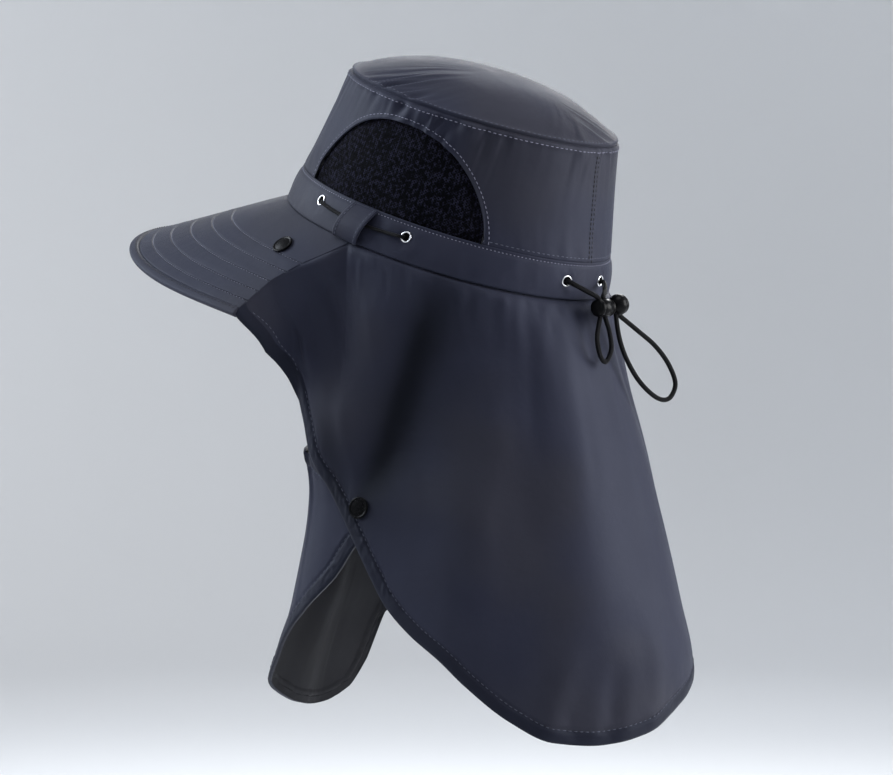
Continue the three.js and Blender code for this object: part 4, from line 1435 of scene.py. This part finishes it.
left_route = eyelet_lead(EYELETS[4], 1) + [(5, 111.5, -35)] + SMALL_LOOP + [(0.8, 111.5, -36.5)]
right_route = eyelet_lead(EYELETS[5], -1) + [(-3.4, 111.9, -33.2), (-8.2, 112.4, -35)]
right_route = right_route + LARGE_LOOP + [(-9, 112.5, -36)]
left_path, right_path = curve_through(left_route), curve_through(right_route)
print("cord lengths:", round(path_length(left_path), 4), round(path_length(right_path), 4))

# %% drawcord and lock
small = tube("drawcord_short", left_path, CORD_RADIUS)
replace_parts(small, "drawcord_left", "drawcord_small_loop")
large = tube("drawcord_long", right_path, CORD_RADIUS)
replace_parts(large, "drawcord_right", "drawcord_large_loop")

LOCK_PROFILE = [
    (0, -6.5), (3.2, -6.4), (4.4, -5.8), (4.8, -4.6), (4.3, -4.2), (4.3, -3.4), (4.9, -3.0), (5.0, 0),
    (4.9, 3.0), (4.5, 3.4), (4.5, 4.0), (4.9, 4.4), (4.8, 5.6), (4.0, 6.3), (2.6, 6.5), (0, 6.5),
]
lock_centre = np.array([LOCK["x"], LOCK["y"], LOCK["z"]])
lock_piece = turned("lock_barrel", LOCK_PROFILE, lock_centre, (1, 0, 0), [PLASTIC], 40)
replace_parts(lock_piece, "cord_lock")
ball_radius = LOCK["ball"]
ball_centre = np.array([LOCK["x"] - LOCK["length"] / 2 - ball_radius - 0.3, LOCK["y"] + 1, LOCK["z"] + 1.5])
BALL_PROFILE = [(ball_radius * np.sin(t), -ball_radius * np.cos(t)) for t in np.linspace(0, np.pi, 25)]
BALL_PROFILE = [(0 if r < 1e-6 else r * (1 - 0.10 * bell(h, 1.2, 0.5)), h) for r, h in BALL_PROFILE]
ball_piece = turned("lock_button", BALL_PROFILE, ball_centre, (-1, 0.1, 0.15), [PLASTIC], 40)
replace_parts(ball_piece, "cord_ball")

print("drawcord threaded")

# %% [markdown]
# ## Room and light
# A pale floor lies well below the hat, which is held up at its head opening, and curves up into a round
# backdrop, so that no horizon shows from any side. Two large soft lights, at the front left and the back
# right, graze the side that the photograph shows and draw its folds. Weaker ones from above and from the
# far side lift the edges off the background.

# %% floor and backdrop
FLOOR = {"level": -0.62, "flat": 2.4, "bend": 1.0, "wall": 2.2}


def backdrop():
    """A round floor whose edge bends up into a wall."""
    finish = Finish("pale backdrop", Roughness=0.95)
    tone = finish.noise(1.2, 2)
    finish.feed("Base Color", finish.blend(tone, (0.77, 0.78, 0.79), (0.80, 0.81, 0.82)))
    bend = np.linspace(0, np.pi / 2, 14)
    flat, round_edge, wall = FLOOR["flat"], FLOOR["bend"], FLOOR["wall"]
    radii = np.concatenate([[0.0], flat + round_edge * np.sin(bend), [flat + round_edge]])
    levels = np.concatenate([[0.0], round_edge * (1 - np.cos(bend)), [round_edge + wall]])
    turns = np.linspace(0, 2 * np.pi, 72, endpoint=False)
    vertices = [(0, 0, FLOOR["level"])]
    for radius, level in zip(radii[1:], levels[1:]):
        vertices += [(radius * np.cos(t), radius * np.sin(t), FLOOR["level"] + level) for t in turns]
    count = len(turns)
    faces = [(0, 1 + k, 1 + (k + 1) % count) for k in range(count)]
    for row in range(len(radii) - 2):
        low, high = 1 + row * count, 1 + (row + 1) * count
        faces += [(low + k, high + k, high + (k + 1) % count, low + (k + 1) % count) for k in range(count)]
    data = bpy.data.meshes.new("backdrop")
    data.from_pydata(vertices, [], faces)
    data.polygons.foreach_set("use_smooth", [True] * len(data.polygons))
    data.materials.append(finish.material)
    piece = bpy.data.objects.new("backdrop", data)
    bpy.context.collection.objects.link(piece)


backdrop()
print("floor lies", -FLOOR["level"], "m below the head opening")

# %% lights
WHITE, COOL = (1, 1, 1), (0.84, 0.91, 1.0)
LIGHTS = [
    {"name": "left", "place": (0.78, -1.62, 1.05), "size": 1.3, "power": 29, "spread": 110, "tint": COOL},
    {"name": "right", "place": (-1.02, 1.77, 0.45), "size": 1.6, "power": 43, "spread": 110, "tint": WHITE},
    {"name": "top", "place": (0.3, 0.3, 1.9), "size": 1.2, "power": 9, "spread": 120, "tint": WHITE},
    {"name": "far", "place": (-1.6, -1.0, 0.6), "size": 1.1, "power": 8, "spread": 110, "tint": WHITE},
]
for row in LIGHTS:
    data = bpy.data.lights.new(row["name"], "AREA")
    data.size, data.energy, data.spread = row["size"], row["power"], np.radians(row["spread"])
    data.color = row["tint"]
    light = bpy.data.objects.new(row["name"], data)
    bpy.context.collection.objects.link(light)
    light.location = row["place"]
    light.rotation_euler = (Vector((0, 0, -0.1)) - light.location).to_track_quat("-Z", "Y").to_euler()
    light.visible_camera = False

world = bpy.data.worlds.new("room")
world.use_nodes = True
world.node_tree.nodes["Background"].inputs[0].default_value = (0.90, 0.93, 1.0, 1)
world.node_tree.nodes["Background"].inputs[1].default_value = 0.5
bpy.context.scene.world = world
bpy.context.scene.view_settings.view_transform = "Standard"
print("lights:", len(LIGHTS))
